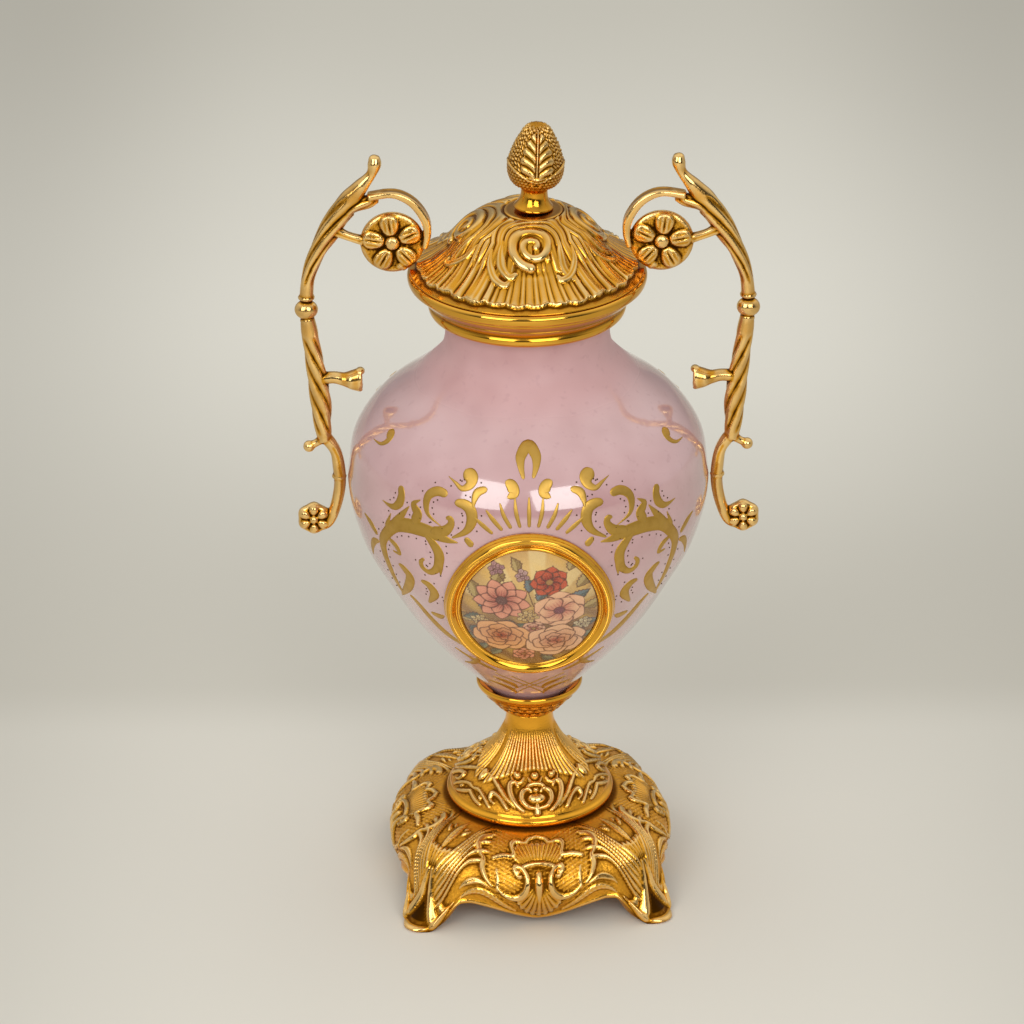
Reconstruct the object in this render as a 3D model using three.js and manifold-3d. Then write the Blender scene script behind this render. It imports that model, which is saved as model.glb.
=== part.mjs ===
// A lidded mantel urn, 430 mm tall: a hollow pear-shaped porcelain vessel in cast brass mounts.
// Millimetres, +Z up, origin on the floor under the vessel's axis. The front faces -Y.
// From the floor up: a square base on four scroll feet, a domed pedestal, a cup that holds the
// vessel, the vessel with an oval plaque in a frame on its front, two scroll handles, a collar,
// and a fluted lid with a bud finial. The lid and its finial rest in place and lift off.

import * as THREE from 'three';
import { mergeVertices } from 'three/addons/utils/BufferGeometryUtils.js';
import Module from 'manifold-3d';

const wasm = await Module();
wasm.setup();

// ---- driving dimensions --------------------------------------------------------------------

const GAP = 0.3;                // clearance between two pieces that touch
const ROUND_COLUMNS = 28;       // facets round the vessel and the rings that fit it
const DEGREE = Math.PI / 180;

const BASE_TURN = 4.8 * DEGREE; // the base stands slightly turned under the vessel
const BASE_TOP = 45;            // height of the base's flat top
const BASE_WALL = 3.4;          // casting thickness
const FOOT_WALL = 9;            // thickness of the feet where they meet the floor
const ARCH_ANGLE = 27 * DEGREE; // from the middle of a side to the top of its arch
const FOOT_ANGLE = 37 * DEGREE; // from the middle of a side to the edge of a foot
const SIDE_DROP = 4;            // height of the shell's lowest point over the floor
const ARCH_HEIGHT = 15;         // height of the arches beside the shell

const PEDESTAL_TOP = 95.3;
const PEDESTAL_FLUTES = 16;
const CUP_TOP = 114;
const CUP_SEAT = 104.7;         // floor of the cup, under the vessel
const BODY_FOOT = 105;
const BODY_TOP = 344;
const BODY_WALL = 4.2;
const NECK_RADIUS = 43.6;
const COLLAR_SEAT = 348.7;      // ledge that the lid rests on
const COLLAR_RADIUS = 61.5;
const LID_TOP = 382.6;
const LID_FLUTES = 18;
const FLUTE_DEPTH = 1.3;
const FINIAL_LEAVES = 8;
const FINIAL_SHIFT = 3.4;       // the finial stands a little to the right of the lid's axis
const FINIAL_LEAN = 3 * DEGREE; // and leans to the right
const TOTAL_HEIGHT = 430;

const HANDLE_DEPTH = 4;         // half the handle's size from front to back
const DISC_RADIUS = 16.5;       // flower disc beside the lid
const DISC_CENTRE = [-68.6, 364.5];
const BALL_RADIUS = 6.2;        // knuckle ball in the middle of the arm
const ROSETTE_RADIUS = 9;       // small flower at the foot of the handle

const OVAL_HALF_WIDTH = 34.5;   // opening of the medallion frame
const OVAL_HALF_HEIGHT = 45;    // measured along the vessel's curve
const OVAL_BAND = 8.7;          // width of the frame
const OVAL_MIDDLE = 192.6;      // height of the opening's middle
const OVAL_LIFT = 2;            // the oval's widest points lie this much above its middle
const OVAL_BACK = 0.5;          // space behind the frame and the plaque, over the glaze
const PLAQUE_THICKNESS = 1.7;

// ---- materials -----------------------------------------------------------------------------

const material = (color, roughness, metalness) =>
  new THREE.MeshStandardMaterial({ color, roughness, metalness });

const castBrass = material(0xc08a2c, 0.36, 1);
const polishedBrass = material(0xd9a53a, 0.14, 1);
const pinkGlaze = material(0xd3b0ba, 0.12, 0);
const plaqueGlaze = material(0xdcc391, 0.25, 0);

// ---- shared geometry helpers ---------------------------------------------------------------

const smooth = (t) => {
  const clamped = Math.min(Math.max(t, 0), 1);
  return clamped * clamped * (3 - 2 * clamped);
};

const mix = (a, b, t) => a + (b - a) * t;

// A spline through [radius, height] points, as evenly spaced points.
const curveOf = (points) => new THREE.SplineCurve(points.map(([r, z]) => new THREE.Vector2(r, z)));

// Merges shared vertices, drops empty triangles and turns the faces outward.
function closed(geometry) {
  geometry.deleteAttribute('normal');
  geometry.deleteAttribute('uv');
  const merged = mergeVertices(geometry, 1e-4);
  const position = merged.attributes.position;
  const corner = [new THREE.Vector3(), new THREE.Vector3(), new THREE.Vector3()];
  const kept = [];
  let volume = 0;
  for (let i = 0; i < merged.index.count; i += 3) {
    const ids = [0, 1, 2].map((k) => merged.index.getX(i + k));
    if (ids[0] === ids[1] || ids[1] === ids[2] || ids[2] === ids[0]) continue;
    ids.forEach((id, k) => corner[k].fromBufferAttribute(position, id));
    volume += corner[0].dot(corner[1].clone().cross(corner[2]));
    kept.push(ids);
  }
  const facing = volume > 0 ? kept : kept.map(([a, b, c]) => [a, c, b]);
  merged.setIndex(facing.flat());
  return merged;
}

// A turned grid whose vertices are placed by a function of the angle and the row.
// The first and last rows close on a point each, or on each other.
function turnedForm(columns, rows, place) {
  const grid = Array.from({ length: rows }, (_, row) => new THREE.Vector2(1, row));
  const geometry = new THREE.LatheGeometry(grid, columns);
  const position = geometry.attributes.position;
  for (let column = 0; column <= columns; column += 1) {
    const angle = (column % columns) * (2 * Math.PI / columns);
    for (let row = 0; row < rows; row += 1) {
      const [x, y, z] = place(angle, row, column % columns);
      position.setXYZ(column * rows + row, x, y, z);
    }
  }
  return closed(geometry);
}

// A turned piece from its outline, with an optional change of radius and height at each angle.
function turned(outline, columns, carve = () => [0, 0]) {
  return turnedForm(columns, outline.length, (angle, row, column) => {
    const [radius, height] = outline[row];
    const [out, up] = radius > 0 ? carve(angle, radius, height, column) : [0, 0];
    const r = radius + out;
    return [r * Math.cos(angle), r * Math.sin(angle), height + up];
  });
}

// A rod swept along [x, z, half width] stations in the XZ plane, with an oval section.
function rod(stations, { depth = HANDLE_DEPTH, steps = 10, sides = 6 } = {}) {
  const path = new THREE.CatmullRomCurve3(
    stations.map(([x, z]) => new THREE.Vector3(x, 0, z)), false, 'centripetal');
  const widths = new THREE.SplineCurve(stations.map(([, , w], i) => new THREE.Vector2(i, w)));
  const last = steps + 2;
  return turnedForm(sides, last + 1, (angle, row) => {
    const t = Math.min(Math.max((row - 1) / steps, 0), 1);
    const centre = path.getPoint(t);
    const along = path.getTangent(t);
    const half = widths.getPoint(t).y;
    const isTip = row === 0 || row === last;
    const reach = isTip ? (row === 0 ? -0.45 : 0.45) * half : 0;
    const swell = isTip ? 0 : 1;
    const across = half * swell * Math.cos(angle);
    return [
      centre.x + along.x * reach + along.z * across,
      Math.min(depth, half * 1.1) * swell * Math.sin(angle),
      centre.z + along.z * reach - along.x * across,
    ];
  });
}

// A flower disc that faces front and back: a rim, petals between notches and a round boss.
function flower([x, z], radius, petals, { depth = HANDLE_DEPTH, columns = 15 } = {}) {
  const outline = [[0, 1.1], [0.3, 0.7], [0.7, 0.85], [1, 0.7], [1, -0.7], [0, -0.85]];
  return turnedForm(columns, outline.length, (angle, row) => {
    const [share, rise] = outline[row];
    const isPetal = share > 0.5 && share < 0.9 && rise > 0;
    const crown = isPetal ? 0.2 * Math.cos(petals * angle) : 0;
    const r = share * radius;
    return [x + r * Math.cos(angle), -(rise + crown) * depth, z + r * Math.sin(angle)];
  });
}

// A ball drawn out by the given factors along X, Y and Z.
function ball([x, z], radius, [sx, sy, sz] = [1, 1, 1]) {
  const geometry = new THREE.SphereGeometry(radius, 7, 5);
  geometry.scale(sx, sy, sz);
  geometry.translate(x, 0, z);
  return closed(geometry);
}

// Joins closed geometries into one solid.
function joined(geometries) {
  const solids = geometries.map((geometry) => new wasm.Manifold(new wasm.Mesh({
    numProp: 3,
    vertProperties: new Float32Array(geometry.attributes.position.array),
    triVerts: new Uint32Array(geometry.index.array),
  })));
  const mesh = solids.reduce((whole, next) => whole.add(next)).getMesh();
  const geometry = new THREE.BufferGeometry();
  geometry.setAttribute('position', new THREE.BufferAttribute(mesh.vertProperties, 3));
  geometry.setIndex(new THREE.BufferAttribute(mesh.triVerts, 1));
  return geometry;
}

function piece(name, geometry, finish) {
  const mesh = new THREE.Mesh(geometry, finish);
  mesh.name = name;
  return mesh;
}

// ---- base ----------------------------------------------------------------------------------

// Outlines from the flat top down to the lower edge, at three places round a quarter of the base:
// the middle of a side (a swelling panel with a hanging shell), the top of the arch beside it, and
// the corner (a leg with a full shoulder, a drawn-in ankle and a spreading foot).
const BASE_SIDE = [
  [42, 45], [50, 44], [58, 41.5], [66, 36.5], [71.5, 30], [72.8, 23], [71, 15], [68, 8.5], [66, SIDE_DROP],
];
const BASE_ARCH = [
  [42, 45], [50, 44.3], [58, 42.3], [66, 38], [72, 33], [75.5, 28], [76.5, 23], [76.3, 18.5], [76, ARCH_HEIGHT],
];
const BASE_CORNER = [
  [42, 45], [51, 44.6], [61, 43], [71, 39], [78, 32], [81, 23.5], [84, 14.5], [90, 6], [96.5, 0],
];
const OCTANT_ANGLES = [0, 6, 12, 19, 26, 31, 36, 40.5].map((degrees) => degrees * DEGREE);
const INNER_ROWS = [8, 7, 4, 1];
const SHELL_RISE = 1.2;         // swelling of the flutes on the hanging shell
const SHELL_ANGLE = 20 * DEGREE; // half the shell's width, seen from the urn's axis
const SHELL_FLUTING = 16;       // flutes per half turn
const SHELL_ROW = 5;            // first row of the outlines that the shell reaches
const LEG_RIDGE = 1.6;          // height of the two ridges down each leg
const RIDGE_ANGLE = 3 * DEGREE; // half their width
const RIDGE_ROWS = [3, 7];      // rows of the outlines where they start and end

// Angles round the base: each octant runs from the middle of a side to a corner.
const baseAngles = Array.from({ length: 8 }, (_, octant) => {
  const start = octant * 45 * DEGREE;
  return octant % 2 === 0
    ? OCTANT_ANGLES.map((angle) => start + angle)
    : OCTANT_ANGLES.map((angle, i) => start + 45 * DEGREE
      - (i === 0 ? 45 * DEGREE : OCTANT_ANGLES[OCTANT_ANGLES.length - i]));
}).flat();

// Angle from the middle of the nearest side, from 0 to 45 degrees.
function fromSideMiddle(angle) {
  const quarter = 90 * DEGREE;
  const turn = ((angle % quarter) + quarter) % quarter;
  return Math.min(turn, quarter - turn);
}

function baseOuter(angle, row) {
  const off = fromSideMiddle(angle);
  const toArch = smooth(off / ARCH_ANGLE);
  const toFoot = smooth((off - ARCH_ANGLE) / (FOOT_ANGLE - ARCH_ANGLE));
  const toCorner = smooth((off - ARCH_ANGLE) / (45 * DEGREE - ARCH_ANGLE));
  const radius = mix(mix(BASE_SIDE[row][0], BASE_ARCH[row][0], toArch), BASE_CORNER[row][0], toCorner);
  const height = mix(mix(BASE_SIDE[row][1], BASE_ARCH[row][1], toArch), BASE_CORNER[row][1], toFoot);
  const onSide = 1 - smooth(off / SHELL_ANGLE);
  const flute = row >= SHELL_ROW ? SHELL_RISE * onSide * Math.abs(Math.cos(off * SHELL_FLUTING)) : 0;
  const onRidge = row >= RIDGE_ROWS[0] && row <= RIDGE_ROWS[1];
  const ridge = onRidge ? LEG_RIDGE * Math.exp(-(((off - FOOT_ANGLE) / RIDGE_ANGLE) ** 2)) : 0;
  return [radius + flute + ridge, height];
}

function baseInner(angle, row) {
  const [radius, height] = baseOuter(angle, row);
  const share = row / (BASE_SIDE.length - 1);
  const foot = smooth((fromSideMiddle(angle) - ARCH_ANGLE) / (FOOT_ANGLE - ARCH_ANGLE));
  const wall = mix(BASE_WALL, FOOT_WALL, foot * smooth(share * 2 - 1));
  return [radius - wall, height - BASE_WALL * (1 - smooth(share * 1.4 - 0.4))];
}

function makeBase() {
  const outerRows = [...BASE_SIDE.keys()];
  const rows = [
    { top: BASE_TOP - BASE_WALL },
    ...INNER_ROWS.map((row) => ({ inner: row })).reverse(),
    ...outerRows.map((row) => ({ outer: row })).reverse(),
    { top: BASE_TOP },
  ];
  return turnedForm(baseAngles.length, rows.length, (_, index, column) => {
    const angle = baseAngles[column];
    const { top, inner, outer } = rows[index];
    if (top !== undefined) return [0, 0, top];
    const [r, z] = inner !== undefined ? baseInner(angle, inner) : baseOuter(angle, outer);
    return [r * Math.cos(angle), r * Math.sin(angle), z];
  });
}

// ---- pedestal and cup ----------------------------------------------------------------------

const PEDESTAL_OUTLINE = [
  [0, BASE_TOP + GAP], [43, BASE_TOP + GAP], [44.6, 47.2], [44.6, 48.8], [42.5, 50.4], [42.6, 51.5],
  [41, 54], [38, 57.5], [34, 60.5], [28, 65], [22, 70], [16, 77], [13, 86], [12.3, PEDESTAL_TOP],
  [0, PEDESTAL_TOP],
];
const CUP_OUTLINE = [
  [0, PEDESTAL_TOP + GAP], [13.5, PEDESTAL_TOP + GAP], [20, 102.8], [25.5, 109.3],
  [28.3, 111.6], [28.3, 113.2], [27.3, CUP_TOP], [26.7, 113.2], [19.6, 105.6], [18.6, CUP_SEAT], [0, CUP_SEAT],
];

const PEDESTAL_FLUTED = [15, 30]; // radii between which the dome is fluted, above its relief
const PEDESTAL_RELIEF_TOP = 60;
const PEDESTAL_FLUTE_DEPTH = 0.9;

function makePedestal() {
  return turned(PEDESTAL_OUTLINE, PEDESTAL_FLUTES * 2, (_, radius, height, column) => {
    const [from, to] = PEDESTAL_FLUTED;
    const isFluted = radius > from && radius < to && height > PEDESTAL_RELIEF_TOP;
    return isFluted ? [0, column % 2 ? -PEDESTAL_FLUTE_DEPTH : 0] : [0, 0];
  });
}

// ---- vessel --------------------------------------------------------------------------------

const BODY_PROFILE = curveOf([
  [19.9, 108], [32.2, 122], [48.5, 140], [63.5, 160], [75.5, 180], [86.3, 200], [92.7, 220], [94.3, 232],
  [93.7, 240], [90.4, 258], [78.2, 275], [58.7, 290], [46, 303], [42.6, 312], [42.6, 320], [NECK_RADIUS, 330],
]);
const BODY_ROWS = 13;
const BODY_INNER_ROWS = 8;

// A point of the vessel's outer curve, pushed out by `rise` along its normal.
// `share` is the part of the curve's length below it.
function bodyPoint(share, rise) {
  const at = BODY_PROFILE.getPointAt(share);
  const along = BODY_PROFILE.getTangentAt(share);
  return [at.x + along.y * rise, at.y - along.x * rise];
}

// The share of the curve's length that first passes a test of its point.
function shareWhere(isReached) {
  let share = 0;
  while (!isReached(BODY_PROFILE.getPointAt(share), BODY_PROFILE.getTangentAt(share))) share += 0.001;
  return share;
}

// Rows run evenly up the curve, with one of them moved to the vessel's widest point.
function makeBody() {
  const widest = shareWhere((_, along) => along.x <= 0);
  const shares = (count) => Array.from({ length: count + 1 }, (_, i) => i / count);
  const outside = shares(BODY_ROWS)
    .map((share) => (Math.abs(share - widest) < 0.5 / BODY_ROWS ? widest : share))
    .map((share) => bodyPoint(share, 0));
  const inside = shares(BODY_INNER_ROWS).slice(1).map((share) => bodyPoint(share, -BODY_WALL)).reverse();
  const outline = [
    [0, BODY_FOOT], [18, BODY_FOOT], ...outside, [NECK_RADIUS, BODY_TOP],
    [NECK_RADIUS - BODY_WALL, BODY_TOP], ...inside, [14, BODY_FOOT + BODY_WALL + 2], [0, BODY_FOOT + BODY_WALL],
  ];
  return turned(outline, ROUND_COLUMNS);
}

// ---- medallion -----------------------------------------------------------------------------

const ovalShare = shareWhere((point) => point.y >= OVAL_MIDDLE);

// A point over the vessel's front: an angle round the oval, a distance outside the opening
// (or a share of it, inside) and a rise over the glaze.
function onOval(angle, { outside = 0, share = 1, rise }) {
  const across = (OVAL_HALF_WIDTH + outside) * share * Math.cos(angle);
  const up = ((OVAL_HALF_HEIGHT + outside) * Math.sin(angle) + OVAL_LIFT * Math.cos(angle) ** 2) * share;
  const at = ovalShare + up / BODY_PROFILE.getLength();
  const glaze = bodyPoint(at, 0);
  const [radius, height] = bodyPoint(at, rise);
  const turn = Math.asin(across / glaze[0]);
  return [radius * Math.sin(turn), -radius * Math.cos(turn), height];
}

const FRAME_SECTION = [
  [0, OVAL_BACK], [0, 2.6], [2.2, 2.9], [3.8, 4.6], [6.4, 4.7], [8.3, 2.9], [OVAL_BAND, OVAL_BACK], [0, OVAL_BACK],
];
const PLAQUE_SHARES = [0, 0.36, 0.7, 1];
const PLAQUE_CROWN = 0.8;       // extra thickness in the middle of the plaque

function makeFrame() {
  return turnedForm(26, FRAME_SECTION.length, (angle, row) => {
    const [outside, rise] = FRAME_SECTION[row];
    return onOval(angle, { outside, rise });
  });
}

function makePlaque() {
  const front = PLAQUE_SHARES.map((share) => [share, PLAQUE_THICKNESS + PLAQUE_CROWN * (1 - share * share)]);
  const back = PLAQUE_SHARES.map((share) => [share, OVAL_BACK]).reverse();
  const section = [...front, ...back];
  return turnedForm(24, section.length, (angle, row) => {
    const [share, rise] = section[row];
    return onOval(angle, { outside: -GAP, share, rise });
  });
}

// ---- collar, lid and finial ----------------------------------------------------------------

const COLLAR_INSIDE = NECK_RADIUS + GAP;
const COLLAR_OUTLINE = [
  [COLLAR_INSIDE, 326], [46, 326], [50.5, 329.2], [51, 332.1], [55, 337.4], [60, 342.2], [COLLAR_RADIUS, 344.8],
  [COLLAR_RADIUS, 347.4], [60.4, COLLAR_SEAT], [40, COLLAR_SEAT], [40, BODY_TOP + GAP],
  [COLLAR_INSIDE, BODY_TOP + GAP], [COLLAR_INSIDE, 326],
];
const LID_FLOOR = COLLAR_SEAT + GAP;
const LID_BELL = [
  [57, 351.6], [51, 354.5], [45, 358], [39, 363.5], [34, 370], [28, 375.5], [20, 379.5], [14.3, 381.2],
];
const LID_INSIDE = [[20, 375], [30, 368], [38, 359], [50, 351]];
const BOSS_RADIUS = 15;         // plain boss under the finial
const SCALLOP_RISE = 1.6;       // of the lid's edge between two flutes
const HOOD_RISE = 2.2;          // raised volute and its hood in the middle of each side of the lid
const HOOD_RADIUS = 37;
const HOOD_REACH = 7;
const HOOD_NARROWING = 6;       // power of the cosine that keeps it to the middle of a side

function makeLid() {
  const outline = [
    [0, LID_TOP - 4.6], ...LID_INSIDE, [54, LID_FLOOR], [60.2, LID_FLOOR], [60.2, 349.9],
    ...LID_BELL, [13, LID_TOP], [0, LID_TOP],
  ];
  const edge = LID_BELL[0][0];
  return turned(outline, LID_FLUTES * 2, (angle, radius, height, column) => {
    const isBell = LID_BELL.some(([r, z]) => r === radius && z === height);
    if (!isBell || radius < BOSS_RADIUS) return [0, 0];
    const groove = column % 2 ? FLUTE_DEPTH : 0;
    if (radius === edge) return [groove * 0.3, groove ? SCALLOP_RISE - groove : 0];
    const towardSide = Math.abs(Math.cos(2 * angle)) ** HOOD_NARROWING;
    const hood = HOOD_RISE * towardSide * Math.exp(-(((radius - HOOD_RADIUS) / HOOD_REACH) ** 2));
    return [hood * 0.6, hood * 0.8 - groove];
  });
}

const FINIAL_FOOT = 10.3;
const FINIAL_NOTCH = 1.1;       // depth between the leaves
const LEAN_LIFT = FINIAL_FOOT * Math.sin(FINIAL_LEAN);
const FINIAL_OUTLINE = [
  [0, LID_TOP + GAP], [FINIAL_FOOT, LID_TOP + GAP], [9.5, 384.4], [7.4, 387], [6.9, 391], [8, 396.5], [13, 402],
  [15.3, 408], [14, 414], [11.5, 420], [7.6, 426], [0, TOTAL_HEIGHT - LEAN_LIFT],
];

function makeFinial() {
  const geometry = turned(FINIAL_OUTLINE, FINIAL_LEAVES * 2, (_, radius, height, column) => {
    const onBud = smooth((height - 394) / 8) * smooth((429 - height) / 12);
    return [column % 2 ? -FINIAL_NOTCH * onBud : 0, 0];
  });
  const foot = LID_TOP + GAP;
  geometry.translate(0, 0, -foot);
  geometry.rotateY(FINIAL_LEAN);
  geometry.translate(FINIAL_SHIFT, 0, foot + LEAN_LIFT);
  return geometry;
}

// ---- handles -------------------------------------------------------------------------------

// The left handle: an arm that rises from the vessel's shoulder, with a knuckle half way, a horn
// at the top, a scroll that curls over a flower disc beside the lid, a trumpet-shaped bud on the
// inside, a small ball outside, and an S-shaped stem that ends in a rosette.
const HORN_AND_ARM = [
  [-77, 411.2, 2.6], [-77, 407, 3.4], [-79, 401.3, 2.4], [-85, 394, 4], [-91.5, 385.5, 5.4], [-98.5, 375, 5.2],
  [-104, 365.5, 4.6], [-109, 354.5, 4], [-112, 345, 3.1], [-113.2, 334, 3.4],
];
const LEAF = [[-97, 378, 3], [-88, 384.6, 3.6], [-80, 386.8, 3.4], [-76.4, 388, 2.4]];
const SCROLL = [[-78, 390.2, 2], [-70, 391.2, 1.9], [-63, 389.6, 2.4], [-56.6, 384.8, 2.8], [-51.6, 377, 2.9],
  [-50.4, 370, 2.2]];
const BRIDGE = [[-98, 371.5, 3.4], [-92, 368.2, 2.4], [-84, 365.5, 2.6]];
const DISC_FOOT = [[-65, 352.4, 3.2], [-62.4, 349.6 + GAP, 2.1]];
const LOWER_ARM = [
  [-112.9, 322, 3], [-112.2, 316, 3.6], [-110.3, 305, 3.4], [-108.1, 292, 4.5], [-106, 276, 4.6], [-106, 262, 3.8],
  [-105.8, 254, 3.2],
];
const STEM = [
  [-106, 256, 3], [-100.4, 247.6, 3], [-98.6, 237.6, 3.4], [-98.2, 227, 3.1], [-100.6, 215.5, 2.8],
  [-105, 205, 3], [-109.5, 201.4, 2.4],
];
const BUD = [[-106, 289, 2.2], [-99, 289.3, 2.5], [-94, 288.2, 3.6], [-89.2, 287.6, 6.6], [-86, 287.5, 7.2]];
const TWIG = [[-106.5, 254, 2.4], [-113, 250, 2]];

function makeHandle() {
  return joined([
    rod(HORN_AND_ARM, { steps: 10 }),
    rod(LEAF, { steps: 3 }),
    rod(SCROLL, { steps: 6 }),
    rod(BRIDGE, { steps: 2 }),
    flower(DISC_CENTRE, DISC_RADIUS, 5),
    rod(DISC_FOOT, { steps: 1, depth: 3 }),
    ball([-113.2, 333.8], 4, [1.1, 1.1, 0.5]),
    ball([-113.4, 327.2], BALL_RADIUS, [1, 0.85, 1]),
    rod(LOWER_ARM, { steps: 6 }),
    rod(BUD, { steps: 5, depth: 6 }),
    rod(TWIG, { steps: 1 }),
    ball([-113.8, 249.6], 3.2),
    rod(STEM, { steps: 8 }),
    flower([-112.2, 208.2], ROSETTE_RADIUS, 6, { columns: 12 }),
  ]);
}

function mirrored(geometry) {
  const copy = geometry.clone();
  copy.scale(-1, 1, 1);
  const index = Array.from(copy.index.array);
  for (let i = 0; i < index.length; i += 3) {
    [index[i + 1], index[i + 2]] = [index[i + 2], index[i + 1]];
  }
  copy.setIndex(index);
  return copy;
}

// ---- assembly ------------------------------------------------------------------------------

const urn = new THREE.Group();

const base = piece('base', makeBase(), castBrass);
base.rotation.z = BASE_TURN;
urn.add(base);

urn.add(piece('pedestal', makePedestal(), castBrass));
urn.add(piece('cup', turned(CUP_OUTLINE, ROUND_COLUMNS), polishedBrass));
urn.add(piece('body', makeBody(), pinkGlaze));
urn.add(piece('medallion_frame', makeFrame(), polishedBrass));
urn.add(piece('medallion_plaque', makePlaque(), plaqueGlaze));
urn.add(piece('collar', turned(COLLAR_OUTLINE, ROUND_COLUMNS), polishedBrass));
urn.add(piece('lid', makeLid(), castBrass));
urn.add(piece('finial', makeFinial(), castBrass));

const handle = makeHandle();
urn.add(piece('handle_left', handle, castBrass));
urn.add(piece('handle_right', mirrored(handle), castBrass));

export default urn;
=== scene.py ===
"""Looks of a lidded mantel urn: a pink glazed vessel in cast and polished brass mounts.

Every piece is a closed surface worked out in millimetres as whole numpy arrays and written in
metres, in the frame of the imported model. The front of the urn faces -Y, and "azimuth" is the
angle round the vertical axis from the front, positive towards +X.
"""

import logging
import math
from dataclasses import dataclass, field
from enum import Enum
from typing import Sequence

import bpy
import numpy as np
from mathutils import Matrix, Vector


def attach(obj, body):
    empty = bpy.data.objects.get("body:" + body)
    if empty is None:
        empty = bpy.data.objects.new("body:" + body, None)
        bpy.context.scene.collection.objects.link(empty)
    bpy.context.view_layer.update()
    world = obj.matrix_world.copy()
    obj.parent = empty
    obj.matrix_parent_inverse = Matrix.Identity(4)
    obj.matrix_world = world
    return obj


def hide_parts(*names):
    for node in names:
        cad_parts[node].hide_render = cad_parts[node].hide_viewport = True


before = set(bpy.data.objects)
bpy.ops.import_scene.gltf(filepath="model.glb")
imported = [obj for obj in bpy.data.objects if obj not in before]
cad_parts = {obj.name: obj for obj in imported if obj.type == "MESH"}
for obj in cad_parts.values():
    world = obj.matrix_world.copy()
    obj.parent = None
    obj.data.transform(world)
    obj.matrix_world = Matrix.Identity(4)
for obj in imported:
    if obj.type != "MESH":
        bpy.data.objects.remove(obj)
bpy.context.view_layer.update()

LOG = logging.getLogger("urn")
MM = 0.001
TURN = 2.0 * math.pi
DEGREE = math.pi / 180.0
TINY = 1e-9
THINNEST = 0.05  # least half width of a strand, in mm

Array = np.ndarray
Points = Sequence[Sequence[float]]
Colour = tuple[float, float, float, float]
Tint = Sequence[float]
Material = bpy.types.Material
Object = bpy.types.Object
Socket = bpy.types.NodeSocket


# ---- numbers and lines ---------------------------------------------------------------------


def smooth(value: Array | float) -> Array:
    """Returns the smooth step from 0 to 1 of each value, flat at both ends."""
    clamped = np.clip(value, 0.0, 1.0)
    return clamped * clamped * (3.0 - 2.0 * clamped)


def mix(low: Array | float, high: Array | float, share: Array | float) -> Array:
    """Returns the blend of two values, where share 0 gives the first and 1 the second."""
    return low + (high - low) * share


def hump(distance: Array | float, spread: float) -> Array:
    """Returns a bell curve that is 1 at distance 0 and 1/e at the spread."""
    return np.exp(-((distance / spread) ** 2))


def dome(share: Array) -> Array:
    """Returns a half circle of height and radius 1, and 0 beyond it."""
    return np.sqrt(np.clip(1.0 - share**2, 0.0, 1.0))


def ridged(phase: Array, sharpness: float = 0.7) -> Array:
    """Returns round ridges with narrow valleys, one for each whole number of the phase."""
    return np.abs(np.sin(math.pi * phase)) ** sharpness


def unit(vectors: Array) -> Array:
    """Returns vectors along the last axis, drawn to length 1."""
    return vectors / np.maximum(np.linalg.norm(vectors, axis=-1, keepdims=True), TINY)


def around(radius: Array, azimuth: Array, height: Array | float) -> Array:
    """Returns points about the axis: X is radius by sine and Y is less radius by cosine."""
    parts = np.broadcast_arrays(radius * np.sin(azimuth), -radius * np.cos(azimuth), height)
    return np.stack(parts, axis=-1)


def measured(line: Array) -> Array:
    """Returns the length along a line of flat points, from its start to each of them."""
    return np.concatenate([[0.0], np.cumsum(np.hypot(*np.diff(line, axis=0).T))])


def flowing(points: Points, samples: int) -> Array:
    """Draws an even Catmull-Rom curve through points.

    Between two points the curve is the cubic whose slope at each end is half the way from the
    point before to the point after; the ends repeat the first and last points.

    Args:
        points: rows of any number of coordinates.
        samples: number of points returned.

    Returns:
        The curve, one row per sample, evenly spaced by point number.
    """
    knots = np.asarray(points, float)
    last = len(knots) - 1
    place = np.linspace(0.0, last, samples)
    start = np.minimum(place.astype(int), last - 1)
    share = (place - start)[:, None]
    before, here = knots[np.maximum(start - 1, 0)], knots[start]
    after, beyond = knots[start + 1], knots[np.minimum(start + 2, last)]
    slope_here, slope_after = (after - before) / 2.0, (beyond - here) / 2.0
    cubic = 2.0 * here - 2.0 * after + slope_here + slope_after
    square = -3.0 * here + 3.0 * after - 2.0 * slope_here - slope_after
    return cubic * share**3 + square * share**2 + slope_here * share + here


def softened(points: Points, steps: int = 6) -> Array:
    """Rounds the corners of a chain of straight lines.

    Each corner becomes the quadratic curve between two points beside it on its lines. They lie
    halfway along the lines, or nearer where a third coordinate gives the corner's reach in mm.

    Args:
        points: rows of two coordinates, with an optional reach.
        steps: points on each corner's curve.

    Returns:
        The softened line as rows of two coordinates.
    """
    knots = np.array([row[:2] for row in points], float)
    limit = [row[2] if len(row) > 2 else math.inf for row in points]
    share = np.linspace(0.0, 1.0, steps)[:, None]
    pieces = [knots[:1]]
    for index in range(1, len(knots) - 1):
        corner = knots[index]
        ends = []
        for arm in (knots[index - 1] - corner, knots[index + 1] - corner):
            length = max(float(np.hypot(*arm)), TINY)
            ends.append(corner + arm * min(0.5, limit[index] / length))
        pieces.append((1 - share) ** 2 * ends[0] + 2 * share * (1 - share) * corner + share**2 * ends[1])
    pieces.append(knots[-1:])
    return np.concatenate(pieces)


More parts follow.
